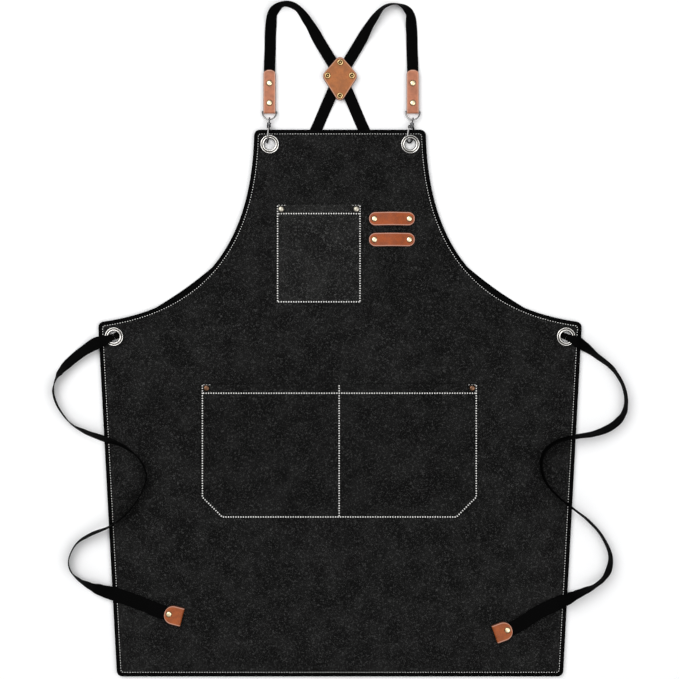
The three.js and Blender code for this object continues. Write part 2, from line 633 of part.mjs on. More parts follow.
// ---- leather folded over a webbing end: tie tips ----------------------------------------------
function makeTieTip(side, tie) {
  const tip = TIPS[side];
  const half = TIP_LENGTH / 2;
  const outline = new THREE.Shape();
  outline.moveTo(half + 3, -TIP_WIDTH / 2);
  outline.lineTo(half + 3, TIP_WIDTH / 2);
  outline.lineTo(0, TIP_WIDTH / 2);
  outline.absellipse(0, 0, half, TIP_WIDTH / 2, Math.PI / 2, 3 * Math.PI / 2);
  outline.closePath();
  const height = TIP_FRONT + LEATHER - TIP_BACK;
  const fold = new THREE.Shape();
  fold.moveTo(-half - 1, 0);
  fold.lineTo(half - 1.4, 0);
  fold.quadraticCurveTo(half, 0, half, height / 2);
  fold.quadraticCurveTo(half, height, half - 1.4, height);
  fold.lineTo(-half - 1, height);
  fold.lineTo(-half - 1, height - LEATHER);
  fold.lineTo(half - LEATHER, height - LEATHER);
  fold.lineTo(half - LEATHER, LEATHER);
  fold.lineTo(-half - 1, LEATHER);
  fold.closePath();
  const band = slab(fold, -TIP_WIDTH / 2 - 1, TIP_WIDTH / 2 + 1, 4).rotateX(Math.PI / 2);
  const leather = common(band, slab(outline, -1, height + 1, 6));
  const angle = THREE.MathUtils.degToRad(tip.angle);
  leather.rotateZ(angle).translate(tip.x, tip.y, TIP_BACK);
  const along = TIP_RIVET - half;
  const x = tip.x + Math.cos(angle) * along;
  const y = tip.y + Math.sin(angle) * along;
  const hole = post(x, y, 0, 20, RIVET_HOLE_R, 8);
  addPiece(`${side}_tie`, cut(tie, hole), "webbing");
  addPiece(`${side}_tie_tip`, cut(leather, hole), "leather");
  addRivet(`${side}_tie_rivet`, x, y, TIP_BACK, TIP_FRONT + LEATHER);
}

// ---- leather tabs folded round the rings' bars ------------------------------------------------
function makeTab(side, tabX) {
  const fold = new THREE.Shape();
  const outer = FOLD_INNER + LEATHER;
  fold.moveTo(TAB_LENGTH, -outer);
  fold.lineTo(outer, -outer);
  fold.absarc(outer, 0, outer, -Math.PI / 2, Math.PI / 2, true);
  fold.lineTo(TAB_LENGTH, outer);
  fold.lineTo(TAB_LENGTH, FOLD_INNER);
  fold.lineTo(outer, FOLD_INNER);
  fold.absarc(outer, 0, FOLD_INNER, Math.PI / 2, 3 * Math.PI / 2, false);
  fold.lineTo(TAB_LENGTH, -FOLD_INNER);
  fold.closePath();
  const half = TAB_WIDTH / 2;
  const band = slab(fold, -half - 1, half + 1, 6).rotateX(Math.PI / 2).rotateZ(Math.PI / 2);
  const outline = roundedShape(
    [[-half, -1], [half, -1], [half, TAB_LENGTH], [-half, TAB_LENGTH]].map((p) => new THREE.Vector2(...p)),
    [0.5, 0.5, TAB_CORNER, TAB_CORNER],
  );
  const leather = common(band, slab(outline, -10, 10, 6));
  leather.translate(tabX, TAB_FOLD_Y, TAB_MIDDLE);
  const holes = TAB_RIVETS.map((rise) => post(tabX, TAB_FOLD_Y + rise, 0, 20, RIVET_HOLE_R, 8));
  addPiece(`${side}_leather_tab`, cut(leather, ...holes), "leather");
  const levels = [TAB_MIDDLE - outer, TAB_MIDDLE + outer];
  TAB_RIVETS.forEach((rise, i) => {
    addRivet(`${side}_tab_rivet_${i + 1}`, tabX, TAB_FOLD_Y + rise, ...levels);
  });
  return holes;
}

// ---- the kite-shaped leather patch over the crossing ------------------------------------------
function makePatch() {
  const corners = [
    [0, PATCH_BOTTOM - 2], [PATCH_HALF_WIDTH + 2, PATCH_WAIST_Y],
    [0, PATCH_TOP + 2], [-PATCH_HALF_WIDTH - 2, PATCH_WAIST_Y],
  ].map((p) => new THREE.Vector2(...p));
  const shape = roundedShape(corners, corners.map(() => PATCH_CORNER));
  PATCH_RIVETS.forEach(([x, y]) => shape.holes.push(roundHole(x, y, RIVET_HOLE_R)));
  addPiece("cross_patch_front", slab(shape, PATCH_FRONT, PATCH_FRONT + LEATHER), "leather");
  addPiece("cross_patch_back", slab(shape, PATCH_BACK, PATCH_BACK + LEATHER), "leather");
  PATCH_RIVETS.forEach(([x, y], i) => {
    addRivet(`patch_rivet_${i + 1}`, x, y, PATCH_BACK, PATCH_FRONT + LEATHER);
  });
  return PATCH_RIVETS.map(([x, y]) => post(x, y, 0, 20, RIVET_HOLE_R, 8));
}

// ---- ring and swivel snap hook ----------------------------------------------------------------
// The ring lies in its own frame with its bar along X and its bow towards -Y.
function ringGeometry() {
  const steps = 12;
  const bow = [];
  for (let i = 0; i <= steps; i += 1) {
    const angle = Math.PI * i / steps;
    bow.push([RING_HALF_WIDTH * Math.cos(angle), -RING_DEPTH * Math.sin(angle), 0]);
  }
  const bar = new THREE.CylinderGeometry(RING_WIRE, RING_WIRE, 2 * RING_HALF_WIDTH + RING_WIRE, 12);
  return join(wire(bow, RING_WIRE, 18), bar.rotateZ(Math.PI / 2));
}

// Hook parts share one frame: the eye's middle at the origin, the hook hanging along -Z and its
// loop lying in the XZ plane with the gate towards +X.
function eyeGeometry() {
  const ring = new THREE.TorusGeometry(RING_WIRE + GAP + 0.15 + EYE_WIRE, EYE_WIRE, 6, 14);
  const top = -(RING_WIRE + GAP + 0.15 + EYE_WIRE);
  const head = COLLAR_BOTTOM + GAP;
  const stem = post(0, 0, -head - 0.6, top, STEM_R, 12);
  const knob = post(0, 0, -head - 1.2, -head, STEM_HEAD_R, 12);
  return join(ring.rotateY(Math.PI / 2), stem, knob);
}

function hookGeometry() {
  const span = HOOK_HALF_SPAN;
  const bend = HOOK_LENGTH - span;
  const fixedArm = [[-2.1, 0, -7.8], [-4, 0, -9], [-5.7, 0, -10.6], [-span, 0, -13], [-span, 0, -19]];
  const bendSteps = 6;
  for (let i = 0; i <= bendSteps; i += 1) {
    const angle = Math.PI * i / bendSteps;
    fixedArm.push([-span * Math.cos(angle), 0, -bend - span * Math.sin(angle)]);
  }
  const gateSide = [[2.1, 0, -7.4], [3.4, 0, -8.4], [GATE_PIVOT.x, 0, -GATE_PIVOT.down + GATE_BARREL_R]];
  const ear = new THREE.CylinderGeometry(HINGE_EAR_R, HINGE_EAR_R, 2 * HINGE_HALF, 16);
  ear.translate(GATE_PIVOT.x, 0, -GATE_PIVOT.down);
  const yoke = block(GATE_PIVOT.x - HINGE_EAR_R, GATE_PIVOT.x + HINGE_EAR_R, -HINGE_HALF, HINGE_HALF,
    -GATE_PIVOT.down, -GATE_PIVOT.down + HINGE_YOKE_RISE);
  const slot = block(GATE_PIVOT.x - HINGE_EAR_R - 1, GATE_PIVOT.x + HINGE_EAR_R + 2, -HINGE_SLOT_HALF,
    HINGE_SLOT_HALF, -GATE_PIVOT.down - 6, -GATE_PIVOT.down + GATE_BARREL_R + GAP);
  const pinHole = new THREE.CylinderGeometry(GATE_PIN_R + GAP, GATE_PIN_R + GAP, 8, 12);
  pinHole.translate(GATE_PIVOT.x, 0, -GATE_PIVOT.down);
  const collar = post(0, 0, -COLLAR_BOTTOM, -COLLAR_TOP, COLLAR_R, 20);
  const bore = post(0, 0, -COLLAR_BOTTOM - 1, -COLLAR_TOP + 1, STEM_R + GAP, 16);
  const chamber = post(0, 0, -COLLAR_BOTTOM - 3, -COLLAR_BOTTOM, STEM_HEAD_R + GAP, 16);
  return cut(join(collar, wire(fixedArm, HOOK_WIRE, 24), wire(gateSide, HOOK_WIRE, 6), ear, yoke),
    slot, pinHole, bore, chamber);
}

function gateGeometry() {
  const { x, down } = GATE_PIVOT;
  const nose = HOOK_LENGTH - HOOK_HALF_SPAN;
  const arm = wire([
    [x + 1.25, 0, -down - 0.75], [HOOK_HALF_SPAN - 0.1, 0, -down - 2.2],
    [HOOK_HALF_SPAN, 0, -down - 6], [HOOK_HALF_SPAN, 0, -nose + GATE_NOSE_CLEARANCE],
  ], GATE_WIRE, 8);
  const barrel = new THREE.CylinderGeometry(GATE_BARREL_R, GATE_BARREL_R, 2 * GATE_BARREL_HALF, 16);
  const hole = new THREE.CylinderGeometry(GATE_PIN_R + GAP, GATE_PIN_R + GAP, 8, 12);
  return cut(join(arm, barrel.translate(x, 0, -down)), hole.translate(x, 0, -down));
}

function makeRingAndHook(side, tabX, ringTilt, hookTurn, hookYaw) {
  const ring = new THREE.Group();
  ring.position.set(tabX, RING_BAR_Y, TAB_MIDDLE);
  ring.rotation.x = THREE.MathUtils.degToRad(-ringTilt);
  apron.add(ring);
  addPiece(`${side}_d_ring`, ringGeometry(), "nickel", ring);

  const tilt = THREE.MathUtils.degToRad(ringTilt);
  const eyeY = RING_BAR_Y - RING_DEPTH * Math.cos(tilt);
  const eyeZ = TAB_MIDDLE + RING_DEPTH * Math.sin(tilt);
  const hook = new THREE.Group();
  hook.position.set(tabX, eyeY, eyeZ);
  hook.rotation.set(-Math.PI / 2, THREE.MathUtils.degToRad(hookYaw), 0);
  apron.add(hook);
  addPiece(`${side}_swivel_eye`, eyeGeometry(), "gunmetal", hook);

  const turned = new THREE.Group();
  turned.rotation.z = THREE.MathUtils.degToRad(hookTurn - 90);
  hook.add(turned);
  addPiece(`${side}_snap_hook`, hookGeometry(), "gunmetal", turned);
  addPiece(`${side}_hook_gate`, gateGeometry(), "gunmetal", turned);
  const pin = new THREE.CylinderGeometry(GATE_PIN_R, GATE_PIN_R, 2 * HINGE_HALF, 12);
  addPiece(`${side}_gate_pin`, pin.translate(GATE_PIVOT.x, 0, -GATE_PIVOT.down), "gunmetal", turned);
  const spring = new THREE.TorusGeometry(GATE_PIN_R + GAP + SPRING_WIRE, SPRING_WIRE, 4, 12);
  spring.rotateX(Math.PI / 2);
  const springY = (GATE_BARREL_HALF + HINGE_SLOT_HALF) / 2;
  addPiece(`${side}_gate_spring`, spring.translate(GATE_PIVOT.x, springY, -GATE_PIVOT.down), "gunmetal", turned);
}

// ---- assembly --------------------------------------------------------------------------------
makeBody();
makeBinding();
makeEyelets();
makePocket("chest_pocket_panel", CHEST_POCKET, pocketRivets.slice(0, 2));
makePocket("waist_pocket_panel", WAIST_POCKET, pocketRivets.slice(2), WAIST_DIVIDER_X);
makePenLoops();

const patchHoles = makePatch();
const leftTabHoles = makeTab("left", LEFT_TAB_X);
const rightTabHoles = makeTab("right", RIGHT_TAB_X);
const leftStrap = webbing(strapRoute(LEFT_TAB_X, -79, 1, UPPER_STRAP_BASE), STRAP_STEPS);
const rightStrap = webbing(strapRoute(RIGHT_TAB_X, 79, -1, LOWER_STRAP_BASE), STRAP_STEPS);
addPiece("left_shoulder_strap", cut(leftStrap, ...patchHoles, ...leftTabHoles), "webbing");
addPiece("right_shoulder_strap", cut(rightStrap, ...patchHoles, ...rightTabHoles), "webbing");

makeTieTip("left", webbing(withEnd(LEFT_TIE, TIPS.left), TIE_STEPS));
makeTieTip("right", webbing(withEnd(RIGHT_TIE, TIPS.right), TIE_STEPS));

makeRingAndHook("left", LEFT_TAB_X, LEFT_RING_TILT, 0, LEFT_HOOK_YAW);
makeRingAndHook("right", RIGHT_TAB_X, RIGHT_RING_TILT, RIGHT_HOOK_TURN, RIGHT_HOOK_YAW);

export default apron;
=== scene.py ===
"""Artist smock apron, laid flat on its back: the finished cloth, leather, webbing and metal."""
import json

import bmesh
import bpy
import numpy as np
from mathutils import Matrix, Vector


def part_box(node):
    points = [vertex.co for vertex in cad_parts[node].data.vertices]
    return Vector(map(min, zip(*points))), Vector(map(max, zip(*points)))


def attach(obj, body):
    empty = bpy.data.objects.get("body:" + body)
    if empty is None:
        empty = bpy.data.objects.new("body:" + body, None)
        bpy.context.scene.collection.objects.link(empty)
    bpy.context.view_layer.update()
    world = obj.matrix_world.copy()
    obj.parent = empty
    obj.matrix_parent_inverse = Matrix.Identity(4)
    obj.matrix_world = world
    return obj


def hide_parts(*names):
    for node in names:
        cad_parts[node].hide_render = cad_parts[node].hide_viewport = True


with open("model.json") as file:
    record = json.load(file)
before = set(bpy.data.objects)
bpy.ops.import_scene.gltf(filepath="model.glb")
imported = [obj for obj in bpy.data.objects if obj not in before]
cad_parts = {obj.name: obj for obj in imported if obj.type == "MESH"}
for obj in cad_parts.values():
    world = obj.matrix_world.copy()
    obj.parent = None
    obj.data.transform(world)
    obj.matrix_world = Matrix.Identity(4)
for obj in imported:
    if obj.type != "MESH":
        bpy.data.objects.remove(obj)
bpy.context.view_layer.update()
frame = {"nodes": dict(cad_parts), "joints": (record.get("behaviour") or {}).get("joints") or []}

MM = 0.001
rng = np.random.default_rng(7)


def box_mm(node):
    """Low and high corner of a node's box, in millimetres."""
    low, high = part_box(node)
    return np.array(low) / MM, np.array(high) / MM


# ---- sizes in millimetres, the same as the frame's own ---------------------------------------
body_low, body_high = box_mm("apron_body")
BIB_TOP = body_high[1]
HEM_Y = body_low[1]
CLOTH_BACK, CLOTH_FRONT = body_low[2], body_high[2]
BIB_HALF_WIDTH = 119.4
WAIST_Y = 23
WAIST_HALF_WIDTH = 338
HEM_HALF_WIDTH = 311.5
ARMHOLE_TOP_PULL = 122
ARMHOLE_SIDE_PULL = 176
ARMHOLE_SIDE_RISE = 22
CORNER_RADIUS = 7
GAP = 0.3
FLOOR = 0.3
LEATHER = 1.6
WEBBING_THICKNESS = 1.5
STRAP_WIDTH = 16
TIE_WIDTH = 19
GATHERED_WIDTH = 9.6
ON_CLOTH = CLOTH_FRONT + GAP
OVER_EDGE = 7.5
EYELET_CROWN = 1.8
CAP_SPACE = 0.9
THREAD_PITCH = 3.5


def middle(node):
    """Middle of a node's box, in millimetres."""
    low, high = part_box(node)
    return (np.array(low) + np.array(high)) / 2 / MM


def joint(name):
    """The frame's own entry for a joint."""
    return next(j for j in frame["joints"] if j["name"] == name)


# ---- camera, floor and light -----------------------------------------------------------------
def add_camera():
    """Straight above the apron, looking down, with the bib at the top of the picture."""
    lens, sensor, picture_width = 85.0, 36.0, 0.9506
    camera = bpy.data.cameras.new("camera")
    camera.lens = lens
    camera.sensor_width = sensor
    stand = bpy.data.objects.new("camera", camera)
    stand.location = (-0.0007, -0.0004, picture_width * lens / sensor + 0.006)
    bpy.context.scene.collection.objects.link(stand)
    bpy.context.scene.camera = stand


def add_softbox(name, place, aim, size, power):
    """A round area light at place, turned to face aim."""
    light = bpy.data.lights.new(name, "AREA")
    light.shape = "DISK"
    light.size = size
    light.energy = power
    lamp = bpy.data.objects.new(name, light)
    lamp.location = place
    direction = np.array(aim) - np.array(place)
    lamp.rotation_euler = Vector(direction).to_track_quat("-Z", "Y").to_euler()
    bpy.context.scene.collection.objects.link(lamp)


def add_studio():
    """Even pale surroundings and two large soft lights."""
    bpy.context.scene.view_settings.view_transform = "Standard"
    world = bpy.data.worlds.new("studio")
    world.use_nodes = True
    tree = world.node_tree
    background = tree.nodes["Background"]
    direction = tree.nodes.new("ShaderNodeTexCoord").outputs["Generated"]
    height = add_node(tree, "ShaderNodeSeparateXYZ", {0: direction}).outputs[2]
    up = ramp(tree, height, 0.15, 0.95)
    tree.links.new(blend_colours(tree, up, (0.1, 0.101, 0.103, 1), (0.92, 0.925, 0.93, 1)),
                   background.inputs["Color"])
    background.inputs["Strength"].default_value = 0.8
    bpy.context.scene.world = world
    add_softbox("key_softbox", (-1.1, 1.0, 2.6), (0, 0, 0), 2.3, 46)
    add_softbox("fill_softbox", (1.5, -0.6, 2.8), (0, 0, 0), 2.3, 30)


# ---- mesh making -----------------------------------------------------------------------------
def make_piece(name, vertices, faces, uv=None, material=None, smooth=True):
    """A mesh object from an n x 3 array in millimetres, quad rows and one uv pair per corner."""
    mesh = bpy.data.meshes.new(name)
    faces = np.asarray(faces, dtype=np.int32)
    mesh.vertices.add(len(vertices))
    mesh.vertices.foreach_set("co", (np.asarray(vertices, float) * MM).astype(np.float32).ravel())
    mesh.loops.add(faces.size)
    mesh.loops.foreach_set("vertex_index", faces.ravel())
    mesh.polygons.add(len(faces))
    mesh.polygons.foreach_set("loop_start", np.arange(0, faces.size, faces.shape[1], dtype=np.int32))
    mesh.polygons.foreach_set("loop_total", np.full(len(faces), faces.shape[1], dtype=np.int32))
    mesh.polygons.foreach_set("use_smooth", np.full(len(faces), smooth))
    if uv is not None:
        layer = mesh.uv_layers.new(name="lay")
        layer.data.foreach_set("uv", np.asarray(uv, np.float32)[faces.ravel()].ravel())
    mesh.update(calc_edges=True)
    mesh.validate()
    piece = bpy.data.objects.new(name, mesh)
    bpy.context.scene.collection.objects.link(piece)
    if material is not None:
        mesh.materials.append(material)
    return piece


def grid_faces(rows, columns, wrap_rows=False, wrap_columns=False):
    """Quads of a rows x columns grid of points, numbered row by row."""
    i = np.arange(rows if wrap_rows else rows - 1)[:, None]
    j = np.arange(columns if wrap_columns else columns - 1)[None, :]
    i2, j2 = (i + 1) % rows, (j + 1) % columns
    a, b, c, d = np.broadcast_arrays(i * columns + j, i * columns + j2, i2 * columns + j2, i2 * columns + j)
    return np.stack([a, b, c, d], axis=-1).reshape(-1, 4)


def closed_tube(rings, wrap=False):
    """Vertices and quads of rings (n x m x 3). Open ends are closed by a ring drawn in to a point."""
    around = rings.shape[1]
    if not wrap:
        first = np.repeat(rings[:1].mean(axis=1, keepdims=True), around, axis=1)
        last = np.repeat(rings[-1:].mean(axis=1, keepdims=True), around, axis=1)
        rings = np.concatenate([first, rings, last])
    faces = grid_faces(len(rings), around, wrap_rows=wrap, wrap_columns=True)
    return rings.reshape(-1, 3), faces


def weld(piece, distance=0.00001):
    """Merges doubled points and turns every face outwards."""
    work = bmesh.new()
    work.from_mesh(piece.data)
    bmesh.ops.remove_doubles(work, verts=work.verts, dist=distance)
    bmesh.ops.dissolve_degenerate(work, edges=work.edges, dist=distance / 2)
    bmesh.ops.recalc_face_normals(work, faces=work.faces)
    work.to_mesh(piece.data)
    work.free()
    return piece


def thicken(piece, thickness, bevel=0.0):
    """Gives a sheet its thickness in millimetres, and rounds its cut edges."""
    wall = piece.modifiers.new("thickness", "SOLIDIFY")
    wall.thickness = thickness * MM
    wall.offset = 0.0
    wall.use_even_offset = True
    if bevel:
        soft = piece.modifiers.new("rounded_edges", "BEVEL")
        soft.width = bevel * MM
        soft.segments = 3
        soft.limit_method = "ANGLE"
        soft.angle_limit = 0.9
        soft.harden_normals = False
    return piece


def unit(vectors):
    """The vectors scaled to length 1."""
    return vectors / np.maximum(np.linalg.norm(vectors, axis=-1, keepdims=True), 1e-12)


def tangents(points, closed=False):
    """Unit directions along a line of points, by central differences."""
    if closed:
        return unit(np.roll(points, -1, axis=0) - np.roll(points, 1, axis=0))
    return unit(np.gradient(points, axis=0))


def resample(points, spacing, closed=False):
    """The same line with its points an equal arc length apart, near to spacing."""
    line = np.vstack([points, points[:1]]) if closed else points
    run = np.concatenate([[0], np.cumsum(np.linalg.norm(np.diff(line, axis=0), axis=1))])
    count = max(int(round(run[-1] / spacing)), 2)
    stops = np.linspace(0, run[-1], count + 1)
    if closed:
        stops = stops[:-1]
    return np.stack([np.interp(stops, run, line[:, k]) for k in range(line.shape[1])], axis=1)


def smooth_curve(points, per_span=10, closed=False):
    """Centripetal Catmull-Rom curve through the points, with per_span steps between two of them."""
    p = np.asarray(points, float)
    if closed:
        p = np.vstack([p[-1], p, p[0], p[1]])
    else:
        p = np.vstack([2 * p[0] - p[1], p, 2 * p[-1] - p[-2]])
    a, b, c, d = p[:-3], p[1:-2], p[2:-1], p[3:]
    step = lambda u, v: np.maximum(np.linalg.norm(v[:, :3] - u[:, :3], axis=1, keepdims=True) ** 0.5, 1e-6)
    s0, s1, s2 = step(a, b), step(b, c), step(c, d)
    m1 = ((b - a) / s0 - (c - a) / (s0 + s1) + (c - b) / s1) * s1
    m2 = ((c - b) / s1 - (d - b) / (s1 + s2) + (d - c) / s2) * s1
    t = (np.arange(per_span) / per_span)[None, :, None]
    b, c, m1, m2 = (v[:, None, :] for v in (b, c, m1, m2))
    curve = ((2 * t ** 3 - 3 * t ** 2 + 1) * b + (t ** 3 - 2 * t ** 2 + t) * m1
             + (3 * t ** 2 - 2 * t ** 3) * c + (t ** 3 - t ** 2) * m2).reshape(-1, p.shape[1])
    return curve if closed else np.vstack([curve, p[-2]])


def smoothstep(low, high, value):
    """0 below low, 1 above high, and 3 s^2 - 2 s^3 between them."""
    share = np.clip((value - low) / (high - low), 0, 1)
    return share * share * (3 - 2 * share)


SLANTED = np.array([0.13, 0.31, 0.94])


def round_wire(points, radius, sides=14, closed=False):
    """Round bar along a line. Its rings are laid out from one slanted direction that no wire follows."""
    line = np.asarray(points, float)
    along = tangents(line, closed)
    side = unit(np.cross(along, SLANTED))
    up = np.cross(side, along)
    angle = np.linspace(0, 2 * np.pi, sides, endpoint=False)[None, :, None]
    reach = np.broadcast_to(np.asarray(radius, float), len(line))[:, None, None]
    rings = line[:, None] + reach * (np.cos(angle) * side[:, None] + np.sin(angle) * up[:, None])
    return closed_tube(rings, wrap=closed)


def turned(profile, segments=48):
    """Surface of revolution about Z. The profile's (r, z) points run from axis to axis or close."""
    line = np.asarray(profile, float)
    angle = np.linspace(0, 2 * np.pi, segments, endpoint=False)
    rings = np.stack([line[:, :1] * np.cos(angle), line[:, :1] * np.sin(angle),
                      np.repeat(line[:, 1:], segments, axis=1)], axis=-1)
    return rings.reshape(-1, 3), grid_faces(len(line), segments, wrap_columns=True)


def from_axis(vertices):
    """The uv of a turned shape: (distance from its axis, height)."""
    return np.stack([np.hypot(vertices[:, 0], vertices[:, 1]), vertices[:, 2]], axis=1)


def merged(*parts):
    """Several (vertices, faces) pairs as one."""
    starts = np.cumsum([0] + [len(v) for v, _ in parts[:-1]])
    return np.vstack([v for v, _ in parts]), np.vstack([f + s for (_, f), s in zip(parts, starts)])


def settle(piece, body, slot, *nodes):
    """Puts a piece on the body it rides on and hides the frame nodes it stands for. Its slot argument is not
    used.
    """
    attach(piece, body)
    if nodes:
        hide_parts(*nodes)
    return piece


# ---- material making -------------------------------------------------------------------------
def add_node(tree, kind, values=None, **settings):
    """One shader node. A value that is a socket is linked; any other is set."""
    node = tree.nodes.new(kind)
    for key, setting in settings.items():
        setattr(node, key, setting)
    for key, value in (values or {}).items():
        if isinstance(value, bpy.types.NodeSocket):
            tree.links.new(value, node.inputs[key])
        else:
            node.inputs[key].default_value = value
    return node


def calculate(tree, operation, first, second=0.0, third=0.0):
    """The result of one maths node."""
    values = {0: first, 1: second, 2: third}
    return add_node(tree, "ShaderNodeMath", values, operation=operation).outputs[0]


def blend_colours(tree, share, first, second):
    """The first colour where share is 0, going over to the second where it is 1."""
    node = add_node(tree, "ShaderNodeMix", data_type="RGBA")
    for index, value in ((0, share), (6, first), (7, second)):
        if isinstance(value, bpy.types.NodeSocket):
            tree.links.new(value, node.inputs[index])
        else:
            node.inputs[index].default_value = value
    return node.outputs[2]


def ramp(tree, value, low, high, start=0.0, end=1.0):
    """A smooth step from start at low to end at high."""
    return add_node(tree, "ShaderNodeMapRange", {
        "Value": value, "From Min": low, "From Max": high, "To Min": start, "To Max": end,
    }, interpolation_type="SMOOTHSTEP").outputs[0]


def noise(tree, place, scale, detail=3.0, roughness=0.55, distortion=0.0):
    """Cloudy noise from about 0 to 1."""
    return add_node(tree, "ShaderNodeTexNoise", {
        "Vector": place, "Scale": scale, "Detail": detail, "Roughness": roughness, "Distortion": distortion,
    }).outputs["Fac"]


def new_group(name, inputs, outputs):
    """An empty shader node group with float or vector inputs and float outputs."""
    group = bpy.data.node_groups.new(name, "ShaderNodeTree")
    for label, kind, value in inputs:
        socket = group.interface.new_socket(label, in_out="INPUT", socket_type=kind)
        if value is not None:
            socket.default_value = value
    for label in outputs:
        group.interface.new_socket(label, in_out="OUTPUT", socket_type="NodeSocketFloat")
    return group, group.nodes.new("NodeGroupInput"), group.nodes.new("NodeGroupOutput")


def make_weave_group():
    """Plain weave: warp and weft ridges that change places in a checkerboard, plus stray fibres."""
    group, given, result = new_group("plain_weave", [
        ("Place", "NodeSocketVector", None), ("Threads", "NodeSocketFloat", 1000.0),
    ], ["Height", "Fleck", "Cloud"])
    place, threads = given.outputs["Place"], given.outputs["Threads"]
    band_scale = calculate(group, "MULTIPLY", threads, 0.314)
    bands = [add_node(group, "ShaderNodeTexWave", {"Vector": place, "Scale": band_scale, "Distortion": 0.6,
                                                   "Detail": 1.0}, bands_direction=axis).outputs["Fac"]
             for axis in "XY"]
    checks = add_node(group, "ShaderNodeTexChecker", {"Vector": place, "Scale": threads}).outputs["Fac"]
    first = calculate(group, "MULTIPLY", bands[0], checks)
    other = calculate(group, "MULTIPLY", bands[1], calculate(group, "SUBTRACT", 1.0, checks))
    group.links.new(calculate(group, "ADD", first, other), result.inputs["Height"])
    coarse = noise(group, place, calculate(group, "MULTIPLY", threads, 0.34), 2.0, 0.65, 1.2)
    fine = noise(group, place, calculate(group, "MULTIPLY", threads, 0.75), 3.0, 0.75)
    fleck = calculate(group, "MULTIPLY_ADD", fine, 0.45, calculate(group, "MULTIPLY", coarse, 0.55))
    group.links.new(ramp(group, fleck, 0.525, 0.6), result.inputs["Fleck"])
    cloud = noise(group, place, calculate(group, "MULTIPLY", threads, 0.03), 3.0, 0.6)
    group.links.new(ramp(group, cloud, 0.35, 0.7), result.inputs["Cloud"])
    return group


def make_grain_group():
    """Leather grain: small cells with creases between them, and slow changes of tone."""
    group, given, result = new_group("leather_grain", [("Place", "NodeSocketVector", None)],
                                     ["Height", "Tone", "Crease"])
    place = given.outputs["Place"]
    cells = add_node(group, "ShaderNodeTexVoronoi", {"Vector": place, "Scale": 1150.0}).outputs["Distance"]
    fine = noise(group, place, 2200.0, 3.0)
    pits = ramp(group, cells, 0.0, 0.7, 1.0, 0.0)
    height = calculate(group, "ADD", pits, calculate(group, "MULTIPLY", fine, 0.5))
    group.links.new(height, result.inputs["Height"])
    group.links.new(ramp(group, noise(group, place, 95.0, 5.0, 0.65), 0.3, 0.72), result.inputs["Tone"])
    creases = noise(group, place, 420.0, 4.0, 0.7, 1.5)
    group.links.new(ramp(group, creases, 0.52, 0.68), result.inputs["Crease"])
    return group


def make_wear_group():
    """Handling marks on metal: smudges and hairline scratches."""
    group, given, result = new_group("metal_wear", [("Place", "NodeSocketVector", None)],
                                     ["Smudge", "Scratch"])
    place = given.outputs["Place"]
    group.links.new(ramp(group, noise(group, place, 350.0, 4.0, 0.6), 0.35, 0.7), result.inputs["Smudge"])
    stretched = add_node(group, "ShaderNodeMapping", {"Vector": place, "Scale": (1.0, 9.0, 2.5),
                                                      "Rotation": (0.3, 0.2, 0.9)}).outputs[0]
    group.links.new(noise(group, stretched, 1600.0, 2.0, 0.5), result.inputs["Scratch"])
    return group


WEAVE = make_weave_group()
GRAIN = make_grain_group()
WEAR = make_wear_group()


def new_material(name, roughness, metallic=0.0, specular=0.5, sheen=0.0):
    """A material with its node tree, its shader and the object's own coordinates."""
    material = bpy.data.materials.new(name)
    material.use_nodes = True
    tree = material.node_tree
    shader = tree.nodes["Principled BSDF"]
    shader.inputs["Roughness"].default_value = roughness
    shader.inputs["Metallic"].default_value = metallic
    shader.inputs["Specular IOR Level"].default_value = specular
    shader.inputs["Sheen Weight"].default_value = sheen
    shader.inputs["Sheen Roughness"].default_value = 0.5
    place = tree.nodes.new("ShaderNodeTexCoord").outputs["Object"]
    return material, tree, shader, place


def set_bump(tree, shader, height, strength, distance):
    """Gives the shader a fine relief from a height."""
    bump = add_node(tree, "ShaderNodeBump", {"Height": height, "Strength": strength, "Distance": distance})
    tree.links.new(bump.outputs["Normal"], shader.inputs["Normal"])


def canvas_material(name, dark, light, threads=1150.0):
    """Heathered canvas: dark yarn with paler flecks, cloudy from wear, woven relief, and painted shade in
    the weave's low places.
    """
    material, tree, shader, place = new_material(name, 0.95, specular=0.03)
    weave = add_node(tree, "ShaderNodeGroup", node_tree=WEAVE)
    tree.links.new(place, weave.inputs["Place"])
    weave.inputs["Threads"].default_value = threads
    share = calculate(tree, "MULTIPLY_ADD", weave.outputs["Fleck"], 0.72,
                      calculate(tree, "MULTIPLY", weave.outputs["Cloud"], 0.12))
    # Painted shade: the weave's relief also darkens the colour where the threads dip.
    share = calculate(tree, "MULTIPLY_ADD", weave.outputs["Height"], 0.16, share)
    tree.links.new(blend_colours(tree, share, dark, light), shader.inputs["Base Color"])
    height = calculate(tree, "MULTIPLY_ADD", weave.outputs["Fleck"], 0.9, weave.outputs["Height"])
    set_bump(tree, shader, height, 0.7, 0.0004)
    return material


